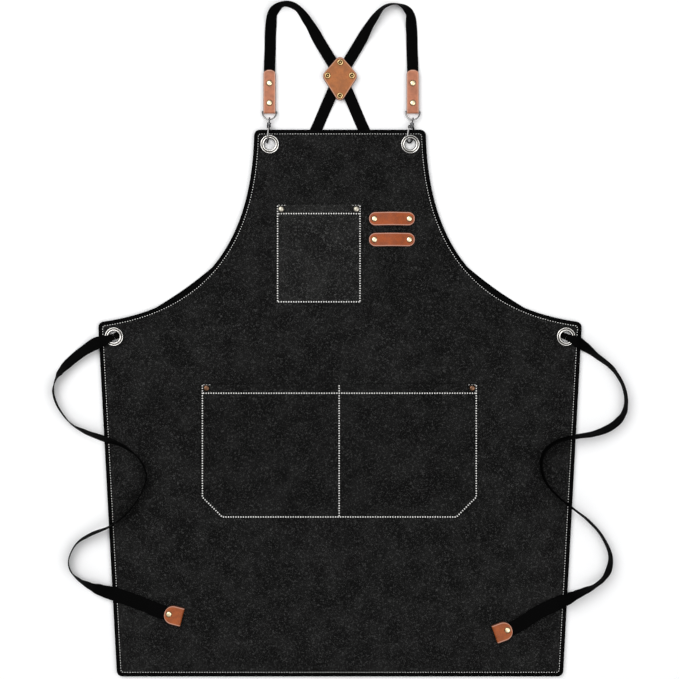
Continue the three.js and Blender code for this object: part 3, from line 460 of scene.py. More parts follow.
def webbing_material():
    """Black webbing: ribs across the band, two thread columns in each, and a firm selvedge; the ribs' relief
    is also painted into the colour as shade between them.
    """
    material, tree, shader, _ = new_material("black_webbing", 0.85, specular=0.02)
    lay = add_node(tree, "ShaderNodeUVMap", uv_map="lay").outputs[0]
    ribs = add_node(tree, "ShaderNodeTexWave", {"Vector": lay, "Scale": 0.314 / 1.3, "Distortion": 0.4},
                    bands_direction="Y").outputs["Fac"]
    columns = add_node(tree, "ShaderNodeTexWave", {"Vector": lay, "Scale": 0.314 / 1.9, "Distortion": 0.3},
                       bands_direction="X").outputs["Fac"]
    height = calculate(tree, "MULTIPLY", ribs, calculate(tree, "MULTIPLY_ADD", columns, 0.6, 0.4))
    fuzz = noise(tree, lay, 1.4, 4.0, 0.7)
    # The colour follows the ribs' relief (painted shade in the low places between the ribs) plus random
    # fuzz.
    share = calculate(tree, "MULTIPLY", calculate(tree, "ADD", height, fuzz), 0.5)
    colour = blend_colours(tree, share, (0.0005, 0.0005, 0.0005, 1), (0.0035, 0.0035, 0.0035, 1))
    tree.links.new(colour, shader.inputs["Base Color"])
    tree.links.new(ramp(tree, fuzz, 0.3, 0.8, 0.7, 0.92), shader.inputs["Roughness"])
    set_bump(tree, shader, height, 0.7, 0.00035)
    return material


def thread_material(name, pale, shade):
    """Sewing thread: fine plies that wind round it, pale on top and shaded between."""
    material, tree, shader, place = new_material(name, 0.7, specular=0.3, sheen=0.1)
    plies = noise(tree, place, 2400.0, 2.0)
    colour = blend_colours(tree, ramp(tree, plies, 0.35, 0.65), shade, pale)
    tree.links.new(colour, shader.inputs["Base Color"])
    set_bump(tree, shader, plies, 0.4, 0.0002)
    return material


EDGE_PALENESS = np.array((0.34, 0.25, 0.21))


def leather_material(name, colour):
    """Smooth dyed leather: grain, mottled dye, a paler line inside the edge and a dark cut edge."""
    material, tree, shader, place = new_material(name, 0.5, specular=0.25)
    grain = add_node(tree, "ShaderNodeGroup", node_tree=GRAIN)
    tree.links.new(place, grain.inputs["Place"])
    base = np.array(colour)
    deep = blend_colours(tree, grain.outputs["Tone"], (*(base * 0.72), 1), (*np.minimum(base * 1.12, 1), 1))
    creased = blend_colours(tree, calculate(tree, "MULTIPLY", grain.outputs["Crease"], 0.35), deep,
                            (*(base * 0.5), 1))
    lay = add_node(tree, "ShaderNodeUVMap", uv_map="lay").outputs[0]
    from_edge = add_node(tree, "ShaderNodeSeparateXYZ", {0: lay}).outputs[0]
    rubbed = calculate(tree, "MULTIPLY", ramp(tree, from_edge, 2.0, 1.1), 0.85)
    paler = blend_colours(tree, rubbed, creased, (*(base * 0.6 + EDGE_PALENESS), 1))
    burnished = blend_colours(tree, ramp(tree, from_edge, 0.75, 0.15), paler, (*(base * 0.33), 1))
    tree.links.new(burnished, shader.inputs["Base Color"])
    tree.links.new(ramp(tree, grain.outputs["Tone"], 0.0, 1.0, 0.44, 0.6), shader.inputs["Roughness"])
    set_bump(tree, shader, grain.outputs["Height"], 0.32, 0.00022)
    return material


def band(tree, value, low, high, edge=0.25):
    """1 between low and high, easing to 0 over edge on each side."""
    rising = ramp(tree, value, low - edge, low)
    return calculate(tree, "MULTIPLY", rising, ramp(tree, value, high, high + edge, 1.0, 0.0))


def metal_material(name, colour, tarnish, roughness, painted_shade_bands=()):
    """Plated metal: smudged polish, hairline scratches, darker tarnish in patches, and painted shade in its
    grooves, rims and holes.

    The bands given as (from, to) distances in mm from the axis of a turned piece are painted shade: there
    the colour is darkened where grooves, rims and holes would lie in shade.
    """
    material, tree, shader, place = new_material(name, roughness, metallic=1.0)
    wear = add_node(tree, "ShaderNodeGroup", node_tree=WEAR)
    tree.links.new(place, wear.inputs["Place"])
    share = calculate(tree, "MULTIPLY", wear.outputs["Smudge"], 0.35)
    shade = blend_colours(tree, share, (*colour, 1), (*tarnish, 1))
    lay = add_node(tree, "ShaderNodeUVMap", uv_map="lay").outputs[0]
    from_middle = add_node(tree, "ShaderNodeSeparateXYZ", {0: lay}).outputs[0]
    # Painted shade: a much darker copy of the tarnish colour, laid in bands round a turned piece's axis.
    painted_shade_colour = (*(np.array(tarnish) * 0.16), 1)
    for low, high in painted_shade_bands:
        shade = blend_colours(tree, band(tree, from_middle, low, high), shade, painted_shade_colour)
    tree.links.new(shade, shader.inputs["Base Color"])
    tree.links.new(ramp(tree, wear.outputs["Smudge"], 0.0, 1.0, roughness * 0.85, roughness * 1.3),
                   shader.inputs["Roughness"])
    set_bump(tree, shader, wear.outputs["Scratch"], 0.06, 0.00003)
    return material


def floor_material():
    """Near-white backdrop with a faint unevenness."""
    material, tree, shader, place = new_material("studio_floor", 0.85, specular=0.2)
    speck = noise(tree, place, 6.0, 4.0)
    tree.links.new(blend_colours(tree, ramp(tree, speck, 0.3, 0.7), (0.93, 0.93, 0.935, 1),
                                 (0.95, 0.95, 0.952, 1)), shader.inputs["Base Color"])
    return material


CANVAS = canvas_material("charcoal_canvas", (0.001, 0.001, 0.001, 1), (0.061, 0.061, 0.06, 1))
CHEST_CANVAS = canvas_material("chest_canvas", (0.002, 0.002, 0.002, 1), (0.086, 0.086, 0.084, 1))
WAIST_CANVAS = canvas_material("waist_canvas", (0.001, 0.001, 0.001, 1), (0.056, 0.056, 0.055, 1))
TAPE = canvas_material("black_edge_tape", (0.0012, 0.0012, 0.0012, 1), (0.007, 0.007, 0.007, 1), 1500.0)
WEBBING = webbing_material()
POCKET_THREAD = thread_material("pocket_thread", (1.0, 0.99, 0.96, 1), (0.84, 0.83, 0.8, 1))
EDGE_THREAD = thread_material("edge_thread", (1.0, 0.99, 0.96, 1), (0.6, 0.595, 0.58, 1))
TAB_LEATHER = leather_material("tab_leather", (0.475, 0.178, 0.098))
PATCH_LEATHER = leather_material("patch_leather", (0.405, 0.138, 0.042))
LOOP_LEATHER = leather_material("loop_leather", (0.335, 0.071, 0.0155))
TIP_LEATHER = leather_material("tip_leather", (0.345, 0.084, 0.0212))
NICKEL = metal_material("bright_nickel", (0.36, 0.355, 0.35), (0.14, 0.135, 0.13), 0.12)
# Painted shade on the eyelets: dark in the hole and up its barrel (0 to 8.5 mm) and in the groove between
# the rings (10.3 to 11.5 mm).
EYELET_NICKEL = metal_material("eyelet_nickel", (0.8, 0.785, 0.76), (0.5, 0.47, 0.42), 0.16,
                               [(0, 8.5), (10.3, 11.5)])
HOOK_METAL = metal_material("hook_nickel", (0.15, 0.15, 0.155), (0.05, 0.05, 0.052), 0.12)
# Painted shade on every rivet: a dark ring round the rim of the head (4 to 5 mm); on the tubular brass also
# in its sunk middle (0.9 to 2.3 mm).
BRASS = metal_material("antique_brass", (0.9, 0.76, 0.5), (0.34, 0.19, 0.08), 0.3, [(4.0, 5)])
TUBE_BRASS = metal_material("tubular_brass", (0.64, 0.44, 0.2), (0.24, 0.13, 0.05), 0.3,
                            [(0.9, 2.3), (4.0, 5)])
PALE_BRASS = metal_material("pale_brass", (0.42, 0.395, 0.33), (0.2, 0.175, 0.13), 0.34, [(4.0, 5)])
COPPER = metal_material("brown_copper", (0.15, 0.08, 0.047), (0.07, 0.038, 0.022), 0.3, [(4.0, 5)])

# ---- webbing routes, repeated from the frame: x, y, base, roll in degrees, width --------------
hole = middle("waist_eyelet_right")
CROWN = ON_CLOTH + EYELET_CROWN + GAP
TIE_IN_TIP = ON_CLOTH + CAP_SPACE + LEATHER + GAP
TIP_LENGTH = 25.8
TIP_WIDTH = 26
TIE_END = 6
BAR_CLEARANCE = 1.35
TAB_MIDDLE = CAP_SPACE + LEATHER + BAR_CLEARANCE
TAB_FOLD_Y = 316.2
STRAP_IN_TAB = TAB_MIDDLE - WEBBING_THICKNESS / 2
LOWER_STRAP = CAP_SPACE + LEATHER + GAP
UPPER_STRAP = LOWER_STRAP + WEBBING_THICKNESS + GAP


def tie_start(side):
    """Out of the eyelet's hole, gathered, and over its rim."""
    x, y = side * hole[0], hole[1]
    return [
        (x + side * 0.3, y - 0.1, 4.6, 0, GATHERED_WIDTH - 0.6),
        (x + side * 6.4, y - 2.7, CROWN + 0.6, 0, GATHERED_WIDTH + 0.4),
        (x + side * 13, y - 5.6, CROWN + 0.2, 0, TIE_WIDTH - 5),
    ]


def full_width(points):
    """Route points (x, y, base, roll) with the tie's own width added to each."""
    return [(*point, TIE_WIDTH) for point in points]


LEFT_TIE = full_width([
    (-341, -6, OVER_EDGE + GAP, 22), (-360, -17.5, 3, 38),
    (-380, -33.5, FLOOR, 44), (-391, -45.5, FLOOR, 58),
    (-397.5, -56, FLOOR, 76), (-401, -72, FLOOR, 86),
    (-396.5, -89.5, FLOOR, 86), (-386, -107, FLOOR, 84),
    (-373, -120.5, FLOOR, 78), (-353, -130.5, 4, 66),
    (-331, -138, OVER_EDGE, 60), (-303, -148.5, ON_CLOTH, 72),
    (-279, -168, ON_CLOTH, 84), (-270.3, -190, ON_CLOTH, 86),
    (-277, -214, ON_CLOTH, 86), (-295, -240, ON_CLOTH, 86),
    (-320, -260.5, OVER_EDGE, 86), (-349, -273, 2.4, 80),
    (-368.5, -286, FLOOR, 84), (-379.5, -309.5, FLOOR, 82),
    (-376, -325, FLOOR, 80), (-363.5, -337, 1.5, 66),
    (-349, -344.8, 4, 50), (-334.5, -350.3, 6.6, 24),
    (-317, -356, OVER_EDGE, 0), (-279, -368.8, TIE_IN_TIP, 0),
])
RIGHT_TIE = full_width([
    (339, -9, OVER_EDGE + GAP, 50), (358, -23, 2, 72),
    (378, -38, FLOOR, 78), (387, -49, FLOOR, 84),
    (395, -63, FLOOR, 86), (399.3, -78, FLOOR, 86),
    (399.8, -90, FLOOR, 85), (397, -103, FLOOR, 78),
    (388, -115.5, FLOOR, 68), (372, -126, 2, 66),
    (352, -132.5, 5, 72), (331, -135.5, OVER_EDGE, 76),
    (312, -139.5, ON_CLOTH, 80), (297, -146, ON_CLOTH, 84),
    (285, -157.5, ON_CLOTH, 84), (280.6, -175, ON_CLOTH, 86),
    (287, -199, ON_CLOTH, 86), (304, -219, ON_CLOTH, 86),
    (325.5, -236.5, OVER_EDGE, 84), (347, -253.5, 2.4, 82),
    (366, -275, FLOOR, 84), (378, -303, FLOOR, 82),
    (375.5, -323, FLOOR, 76), (368, -335, 1, 84),
    (357, -343.5, 3, 86), (342, -350.5, 6, 72),
    (329, -356.3, OVER_EDGE, 62), (318, -362, OVER_EDGE, 44),
    (300, -371, OVER_EDGE, 14), (279, -381, TIE_IN_TIP, 0),
])
TIPS = {"left": (-232.8, -385.6, -14.5), "right": (228, -408.4, -160)}


def tie_end(tip):
    """Into the leather tip and almost to its fold."""
    x, y, angle = tip
    away = np.array([np.cos(np.radians(angle)), np.sin(np.radians(angle))])
    enter = np.array([x, y]) - away * (TIP_LENGTH / 2 + 4)
    stop = np.array([x, y]) + away * (TIP_LENGTH / 2 - TIE_END)
    return [(*enter, TIE_IN_TIP, 0, TIE_WIDTH), (*stop, TIE_IN_TIP, 0, TIE_WIDTH)]


def strap_route(tab_x, arch_x, side, cross_base):
    """From the tab up and over its arch, through the crossing and down behind the body to its eyelet."""
    hole_x, hole_y = side * hole[0], hole[1]
    bar_y = TAB_FOLD_Y + LEATHER + BAR_CLEARANCE
    return [
        (tab_x, bar_y + 1.65, STRAP_IN_TAB, 0, STRAP_WIDTH - 1),
        (tab_x, 348, STRAP_IN_TAB, 0, STRAP_WIDTH),
        (tab_x, 377, STRAP_IN_TAB, 0, STRAP_WIDTH),
        (tab_x + side * 0.8, 405, FLOOR, 0, STRAP_WIDTH),
        (tab_x + side * 1.8, 437, FLOOR, 8, STRAP_WIDTH),
        (tab_x + side * 5.5, 458.5, FLOOR, 40, STRAP_WIDTH),
        (arch_x, 469.0, FLOOR, 74, STRAP_WIDTH),
        (arch_x + side * 17, 465.0, FLOOR, 66, STRAP_WIDTH),
        (side * -44, 443.5, FLOOR, 42, STRAP_WIDTH),
        (side * -28, 416, 1.2, 6, STRAP_WIDTH),
        (side * -13, 391, cross_base, 0, STRAP_WIDTH),
        (0, 369, cross_base, 0, STRAP_WIDTH),
        (side * 12, 343, cross_base, 0, STRAP_WIDTH),
        (side * 23, 318, FLOOR, 0, STRAP_WIDTH),
        (side * 33, 295, FLOOR, 0, STRAP_WIDTH),
        (side * 72, 215, FLOOR, 0, STRAP_WIDTH),
        (side * 134, 133, FLOOR, 0, STRAP_WIDTH),
        (side * 208, 68, FLOOR, 0, STRAP_WIDTH),
        (hole_x - side * 31, hole_y + 16.5, FLOOR, 0, STRAP_WIDTH - 2),
        (hole_x - side * 12, hole_y + 5.6, FLOOR, 0, GATHERED_WIDTH + 0.6),
        (hole_x - side * 5.4, hole_y + 2.3, FLOOR, 0, GATHERED_WIDTH - 0.6),
        (hole_x - side * 0.3, hole_y + 0.1, 3.6, 0, GATHERED_WIDTH - 0.6),
    ]


def webbing_band(route, per_span=18):
    """Flat band with rounded selvedges carried along its route.

    The middle line is the route's curve, lifted by half the height of the rolled section. The section is
    half the width times cos^0.55 across and half the thickness times sin^0.4 through, each keeping its
    sign, and is turned by the route's roll.
    """
    route = np.asarray(route, float)
    plan = smooth_curve(route[:, :3], per_span)
    share = np.arange(len(route) - 1)[:, None] + (np.arange(per_span) / per_span)[None, :]
    stops = np.append(share.ravel(), len(route) - 1)
    eased = np.floor(stops) + smoothstep(0, 1, stops - np.floor(stops))
    roll = np.radians(np.interp(eased, np.arange(len(route)), route[:, 3]))
    width = np.interp(eased, np.arange(len(route)), route[:, 4])
    line = plan.copy()
    line[:, 2] += np.abs(np.sin(roll)) * width / 2 + np.abs(np.cos(roll)) * WEBBING_THICKNESS / 2
    along = tangents(line)
    flat = unit(np.cross([0.0, 0.0, 1.0], along))
    face = np.cross(along, flat)
    across = flat * np.cos(roll)[:, None] + face * np.sin(roll)[:, None]
    face = np.cross(along, across)
    angle = np.linspace(0, 2 * np.pi, 20, endpoint=False)
    out = np.sign(np.cos(angle)) * np.abs(np.cos(angle)) ** 0.55
    up = np.sign(np.sin(angle)) * np.abs(np.sin(angle)) ** 0.4 * WEBBING_THICKNESS / 2
    rings = (line[:, None] + across[:, None] * (out[None, :, None] * width[:, None, None] / 2)
             + face[:, None] * up[None, :, None])
    run = np.concatenate([[0], np.cumsum(np.linalg.norm(np.diff(line, axis=0), axis=1))])
    place = np.stack([out[None, :] * width[:, None] / 2, np.repeat(run[:, None], 20, axis=1)], axis=-1)
    place = np.concatenate([place[:1], place, place[-1:]])
    vertices, faces = closed_tube(rings)
    return vertices, faces, place.reshape(-1, 2), line


def make_tie(side, route):
    """One waist tie, from the middle of its eyelet to inside its leather tip."""
    vertices, faces, place, line = webbing_band(route)
    tie = make_piece(f"{side}_waist_tie", vertices, faces, place, WEBBING)
    weld(tie)
    settle(tie, "apron", "webbing", f"{side}_tie")
    return tie, line


add_camera()
ties = {
    "left": make_tie("left", tie_start(-1) + LEFT_TIE + tie_end(TIPS["left"])),
    "right": make_tie("right", tie_start(1) + RIGHT_TIE + tie_end(TIPS["right"])),
}


# ---- outlines --------------------------------------------------------------------------------
def arc_corner(before, at, after, radius, steps=7):
    """Round arc of that radius that touches both sides of a corner."""
    before, at, after = (np.asarray(p, float)[:2] for p in (before, at, after))
    inward, outward = unit(before - at), unit(after - at)
    half_turn = np.arccos(np.clip(inward @ outward, -1, 1)) / 2
    centre = at + unit(inward + outward) * radius / np.sin(half_turn)
    reach = radius / np.tan(half_turn)
    start, end = at + inward * reach - centre, at + outward * reach - centre
    share = np.linspace(0, 1, steps)[:, None]
    return centre + unit(start * (1 - share) + end * share) * radius


def right_edge():
    """The body's right edge from the bib's top corner, down the armhole and side, to the hem."""
    top, waist, hem = (BIB_HALF_WIDTH, BIB_TOP), (WAIST_HALF_WIDTH, WAIST_Y), (HEM_HALF_WIDTH, HEM_Y)
    t = np.linspace(0, 1, 160)[:, None]
    pulls = (top, (BIB_HALF_WIDTH + 1.5, BIB_TOP - ARMHOLE_TOP_PULL),
             (WAIST_HALF_WIDTH - ARMHOLE_SIDE_PULL, WAIST_Y + ARMHOLE_SIDE_RISE), waist)
    armhole = sum(w * np.array(p) for w, p in zip(
        ((1 - t) ** 3, 3 * t * (1 - t) ** 2, 3 * t ** 2 * (1 - t), t ** 3), pulls))
    clear = [np.linalg.norm(armhole - np.array(p), axis=1) > CORNER_RADIUS + 1 for p in (top, waist)]
    armhole = armhole[clear[0] & clear[1]]
    return np.vstack([
        arc_corner((0, BIB_TOP), top, armhole[0], CORNER_RADIUS), armhole,
        arc_corner(armhole[-1], waist, hem, CORNER_RADIUS),
        arc_corner(waist, hem, (0, HEM_Y), CORNER_RADIUS),
    ])


RIGHT_EDGE = right_edge()
OUTLINE = np.vstack([RIGHT_EDGE, RIGHT_EDGE[::-1] * (-1, 1)])


def inset_line(line, distance, closed=True):
    """A line moved to its left by a distance, along its own normals."""
    along = tangents(line, closed)
    return line + np.stack([-along[:, 1], along[:, 0]], axis=1) * distance


# ---- body ------------------------------------------------------------------------------------
EYELETS = [node for node in frame["nodes"] if "_eyelet_" in node]
EYELET_MIDDLES = np.array([middle(node)[:2] for node in EYELETS])
EYELET_HOLE = 7.4
EYELET_BARREL = 8.6
DRAWN_BACK = 16
HOLE_CUT = 4


def cloth_ripple(x, y):
    """Height of the cloth's own waves: three long crossed sines, in millimetres."""
    return 0.11 * (np.sin(x / 41 + 0.6 * np.sin(y / 67)) + np.sin(y / 53 + 1.3 + 0.5 * np.sin(x / 39))
                   + 0.6 * np.sin((x + 1.4 * y) / 23 + 0.8))


def make_body():
    """The cut cloth. Rows run across at each height of the right edge, evenly spaced from side to side.

    A point r from the middle of an eyelet is drawn back to barrel + r * (reach - barrel) / reach, and the
    faces that started within HOLE_CUT of its middle are taken out.
    """
    columns = 165
    edge = resample(RIGHT_EDGE, 4.1)
    edge = np.vstack([RIGHT_EDGE[0], edge[1:-1], RIGHT_EDGE[-1]])
    share = np.linspace(-1, 1, columns)
    x = edge[:, :1] * share[None, :]
    y = np.repeat(edge[:, 1:2], columns, axis=1)
    keep = np.ones(x.shape, bool)
    for eye_x, eye_y in EYELET_MIDDLES:
        dx, dy = x - eye_x, y - eye_y
        r = np.maximum(np.hypot(dx, dy), 1e-6)
        near = r < DRAWN_BACK
        drawn = EYELET_BARREL + r * (DRAWN_BACK - EYELET_BARREL) / DRAWN_BACK
        keep &= ~(r < HOLE_CUT)
        x = np.where(near, eye_x + dx / r * drawn, x)
        y = np.where(near, eye_y + dy / r * drawn, y)
    inner = np.minimum(1, (1 - np.abs(share)) * 14)[None, :] * np.ones_like(x)
    z = (CLOTH_BACK + CLOTH_FRONT) / 2 + cloth_ripple(x, y) * inner
    points = np.stack([x, y, z], axis=-1).reshape(-1, 3)
    faces = grid_faces(*x.shape)
    faces = faces[keep.ravel()[faces].all(axis=1)][:, ::-1]
    used, faces = np.unique(faces, return_inverse=True)
    body = make_piece("apron_cloth", points[used], faces.reshape(-1, 4), points[used][:, :2], CANVAS)
    thicken(body, CLOTH_FRONT - CLOTH_BACK)
    return settle(body, "apron", "canvas", "apron_body")


def make_binding():
    """Folded tape round the whole edge: one C-shaped section carried along the outline."""
    front, back = CLOTH_FRONT + GAP + 0.8, CLOTH_BACK - GAP - 0.8
    width, lip = 6.3, 0.85
    section = np.array([
        (width, front - 0.62), (width - 0.12, front - 0.15), (width - 0.5, front), (3.2, front - 0.06),
        (1.2, front), (0.2, front - 0.12), (-lip + 0.25, front - 0.7), (-lip, (front + back) / 2 + 0.5),
        (-lip, (front + back) / 2 - 0.5), (-lip + 0.25, back + 0.7), (0.2, back + 0.12), (1.2, back),
        (3.2, back + 0.05), (width - 0.5, back), (width - 0.12, back + 0.15), (width, back + 0.62),
        (width - 0.2, back + 0.78), (0.3, back + 0.78), (0.3, front - 0.78), (width - 0.2, front - 0.78),
    ])
    line = resample(OUTLINE, 3.2, closed=True)
    along = tangents(line, closed=True)
    inward = np.stack([along[:, 1], -along[:, 0]], axis=1)
    wander = 0.22 * np.sin(np.arange(len(line)) * 0.41) * np.sin(np.arange(len(line)) * 0.137)
    reach = section[None, :, 0] + wander[:, None] * (section[None, :, 0] > 4)
    rings = np.concatenate([line[:, None] + inward[:, None] * reach[..., None],
                            np.repeat(section[None, :, 1:], len(line), axis=0)], axis=-1)
    vertices, faces = closed_tube(rings, wrap=True)
    binding = make_piece("edge_binding_tape", vertices, faces, vertices[:, :2], TAPE)
    weld(binding)
    return settle(binding, "apron", "binding", "edge_binding")


# ---- stitches --------------------------------------------------------------------------------
def stitch_row(line, height, closed=False, pitch=THREAD_PITCH, radius=0.42, cover=0.55):
    """Vertices and quads of a row of stitches lying on a line at a given height.

    Each stitch is a bent capsule: its rings stand at u = -1 ... 1 along it, its middle is highest,
    and it dives by 0.9 radius * u^4 at its ends. Lengths and leans vary a little.
    """
    line = resample(np.asarray(line, float), pitch, closed)
    ahead = np.roll(line, -1, axis=0) if closed else line[1:]
    base = line if closed else line[:-1]
    centre, step = (base + ahead) / 2, ahead - base
    count = len(centre)
    lean = rng.normal(0, 0.035, count)
    direction = unit(step)
    go_x, go_y = direction[:, 0], direction[:, 1]
    direction = np.stack([go_x - lean * go_y, go_y + lean * go_x], axis=1)
    side = np.stack([-direction[:, 1], direction[:, 0]], axis=1)
    u = np.array([-1, -1, -0.8, -0.35, 0.35, 0.8, 1, 1])
    girth = np.array([0, 0.5, 0.88, 1, 1, 0.88, 0.5, 0]) * radius
    angle = np.linspace(0, 2 * np.pi, 7)[:-1]
    half = np.linalg.norm(step, axis=1) * cover / 2 * rng.uniform(0.93, 1.05, count)
    flat = (centre[:, None, None] + direction[:, None, None] * (half[:, None] * u)[:, :, None, None]
            + side[:, None, None] * (girth[:, None] * np.cos(angle))[None, :, :, None])
    level = np.asarray(height, float) if np.ndim(height) else np.full(count, float(height))
    rise = (girth[:, None] * np.sin(angle) - 0.9 * radius * u[:, None] ** 4 + 0.25 * radius)
    z = level[:count, None, None] + np.broadcast_to(rise, (count, *rise.shape))
    points = np.concatenate([flat, z[..., None]], axis=-1)
    faces = grid_faces(len(u), len(angle), wrap_columns=True)
    stride = len(u) * len(angle)
    faces = (faces[None] + (np.arange(count) * stride)[:, None, None]).reshape(-1, 4)
    return points.reshape(-1, 3), faces


def make_stitches(name, rows, material):
    """One piece holding several rows of stitches."""
    vertices, faces = merged(*rows)
    piece = make_piece(name, vertices, faces, None, material)
    weld(piece, 0.000002)
    return settle(piece, "apron", "binding")


EDGE_PITCH = 3.6


def make_edge_stitches():
    """A row on each side of the folded tape; the front row is pressed in where the hooks bear on it."""
    line = resample(OUTLINE, 2.6, closed=True)
    along = tangents(line, closed=True)
    inner = line + np.stack([along[:, 1], -along[:, 0]], axis=1) * 5.3
    points = resample(inner, EDGE_PITCH, closed=True)
    centre = (points + np.roll(points, -1, axis=0)) / 2
    bib_eyelets = EYELET_MIDDLES[EYELET_MIDDLES[:, 1] > WAIST_Y]
    from_hook = np.linalg.norm(centre[:, None] - bib_eyelets[None], axis=2).min(axis=1)
    pressed = 0.2 * smoothstep(-26, -20, -from_hook)
    front, back = CLOTH_FRONT + GAP + 0.64 - pressed, CLOTH_BACK - GAP - 0.6
    return make_stitches("edge_stitches", [
        stitch_row(inner, front, closed=True, pitch=EDGE_PITCH, radius=0.48),
        stitch_row(inner, back, closed=True, pitch=EDGE_PITCH, radius=0.34, cover=0.5),
    ], EDGE_THREAD)


# ---- pockets ---------------------------------------------------------------------------------
SEAM_INSET = 2.1
POCKET_CLOTH = 1.1
HEM_DEPTH = 12.6
TACK_LENGTH = 12
SEAM_TURN = 24


def pocket_height(x, y, left, right, bottom, top, divider=None):
    """Height of the pocket cloth's back: seams lie on the body, the mouth stands out, and soft waves.

    rise = 1 - (1 - d / SEAM_TURN)^2 at a distance d from a seam, so the cloth turns over within that.
    """
    from_side = np.minimum(x - left, right - x)
    if divider is not None:
        from_side = np.minimum(from_side, np.abs(x - divider))
    turn = lambda d: 1 - (1 - np.clip((d - SEAM_INSET) / SEAM_TURN, 0, 1)) ** 2
    rise = turn(from_side) * turn(y - bottom)
    up = np.clip((y - bottom) / (top - bottom), 0, 1)
    wave = 0.5 + 0.24 * np.sin(x / 17 + 1.7 * up) + 0.2 * np.sin(y / 21 + x / 60)
    return ON_CLOTH + 0.15 + rise * ((0.9 + 0.8 * up ** 2) * wave + 1.2 * up ** 3)


def make_pocket(name, node, material, chamfer, divider=None):
    """One patch pocket: a grid over its cut shape, its side edges stepped in at the bottom corners."""
    low, high = box_mm(node)
    left, right, bottom, top = low[0], high[0], low[1], high[1]
    rows, columns = int((top - bottom) / 2.6), int((right - left) / 2.6)
    v = np.linspace(0, 1, rows)[:, None]
    y = bottom + (top - bottom) * v
    cut = np.clip(chamfer - (y - bottom), 0, chamfer)
    u = np.linspace(0, 1, columns)[None, :]
    x = left + cut + (right - left - 2 * cut) * u
    y = np.broadcast_to(y, x.shape)
    height = pocket_height(x, y, left + cut, right - cut, bottom, top, divider)
    points = np.stack([x, y, height + POCKET_CLOTH / 2], axis=-1).reshape(-1, 3)
    faces = grid_faces(rows, columns)
    pocket = make_piece(name, points, faces, points[:, :2], material)
    thicken(pocket, POCKET_CLOTH, bevel=0.35)
    settle(pocket, "apron", "canvas", node)
    return pocket, (left, right, bottom, top)


def pocket_seam(sides, chamfer, inset, divider=None):
    """Lines that the pocket's stitches follow: down one side, along the bottom and up the other."""
    left, right, bottom, top = sides
    slope = inset * np.tan(np.pi / 8)
    line = [
        (left + inset, top - 0.6), (left + inset, bottom + chamfer + slope),
        (left + chamfer + slope, bottom + inset), (right - chamfer - slope, bottom + inset),
        (right - inset, bottom + chamfer + slope), (right - inset, top - 0.6),
    ]
    lines = [np.array(pair, float) for pair in zip(line[:-1], line[1:])]
    lines.append(np.array([(left + inset, top - HEM_DEPTH), (right - inset, top - HEM_DEPTH)], float))
    if divider is not None:
        lines.append(np.array([(divider, bottom + inset), (divider, top - 0.6)], float))
    return lines


def seam_rows(lines, sides, divider, radius=1.0):
    """A row of stitches on each line, lying on the pocket's cloth."""
    left, right, bottom, top = sides
    rows = []
    for line in lines:
        points = resample(line, THREAD_PITCH)
        centre = (points[1:] + points[:-1]) / 2
        level = pocket_height(centre[:, 0], centre[:, 1], left, right, bottom, top, divider)
        rows.append(stitch_row(line, level + POCKET_CLOTH + 0.1, radius=radius))
    return rows


def edge_tacks(sides, inset):
    """Short run of thread along the mouth's edge at each top corner."""
    left, right, _, top = sides
    level = top - 0.9
    ends = ((left + inset, left + inset + TACK_LENGTH), (right - inset - TACK_LENGTH, right - inset))
    return [np.array([(start, level), (end, level)], float) for start, end in ends]


CHEST_CHAMFER, WAIST_CHAMFER = 1, 29
WAIST_DIVIDER_X = -1.2


def make_pockets():
    """Both pockets with their seams and the tacks at their top corners."""
    chest, chest_sides = make_pocket("chest_pocket", "chest_pocket_panel", CHEST_CANVAS, CHEST_CHAMFER)
    waist, waist_sides = make_pocket("waist_pocket", "waist_pocket_panel", WAIST_CANVAS, WAIST_CHAMFER,
                                     WAIST_DIVIDER_X)
    chest_lines = pocket_seam(chest_sides, CHEST_CHAMFER, SEAM_INSET)
    waist_lines = pocket_seam(waist_sides, WAIST_CHAMFER, SEAM_INSET, WAIST_DIVIDER_X)
    chest_tacks = seam_rows(edge_tacks(chest_sides, SEAM_INSET), chest_sides, None, radius=0.36)
    waist_tacks = seam_rows(edge_tacks(waist_sides, SEAM_INSET), waist_sides, WAIST_DIVIDER_X, radius=0.36)
    chest_rows = seam_rows(chest_lines, chest_sides, None)
    waist_rows = seam_rows(waist_lines, waist_sides, WAIST_DIVIDER_X)
    make_stitches("chest_pocket_stitches", chest_rows, POCKET_THREAD)
    make_stitches("waist_pocket_stitches", waist_rows, POCKET_THREAD)
    make_stitches("pocket_corner_tacks", chest_tacks + waist_tacks, EDGE_THREAD)
    return chest, chest_sides, waist, waist_sides


# ---- leather ---------------------------------------------------------------------------------
def leather_strip(name, path, across, half_width, material, end_distance):
    """A strip of leather: a grid of rows along a path, each from -half_width to +half_width.

    path is n x 3, across the unit direction of its width, end_distance how far each row is from the
    nearest cut end. The uv is (distance from the nearest cut edge, run along the path).
    """
    path = np.asarray(path, float)
    share = np.linspace(-1, 1, 13)
    share = np.sign(share) * np.abs(share) ** 0.85
    width = np.maximum(np.asarray(half_width, float), 0.02)
    points = path[:, None] + np.asarray(across, float)[None, None] * (width[:, None] * share)[..., None]
    inside = width[:, None] * (1 - np.abs(share))
    margin = np.minimum(inside, np.asarray(end_distance, float)[:, None])
    run = np.concatenate([[0], np.cumsum(np.linalg.norm(np.diff(path, axis=0), axis=1))])
    lay = np.stack([margin, np.repeat(run[:, None], len(share), axis=1)], axis=-1)
    faces = grid_faces(len(path), len(share))
    piece = make_piece(name, points.reshape(-1, 3), faces, lay.reshape(-1, 2), material)
    return thicken(piece, LEATHER, bevel=0.35)


def rounded_end(distance, half_width, radius):
    """Half width of a strip whose end corners are rounded, at a distance from that end."""
    near = np.clip(radius - np.asarray(distance, float), 0, radius)
    return half_width - (radius - np.sqrt(np.maximum(radius ** 2 - near ** 2, 0)))


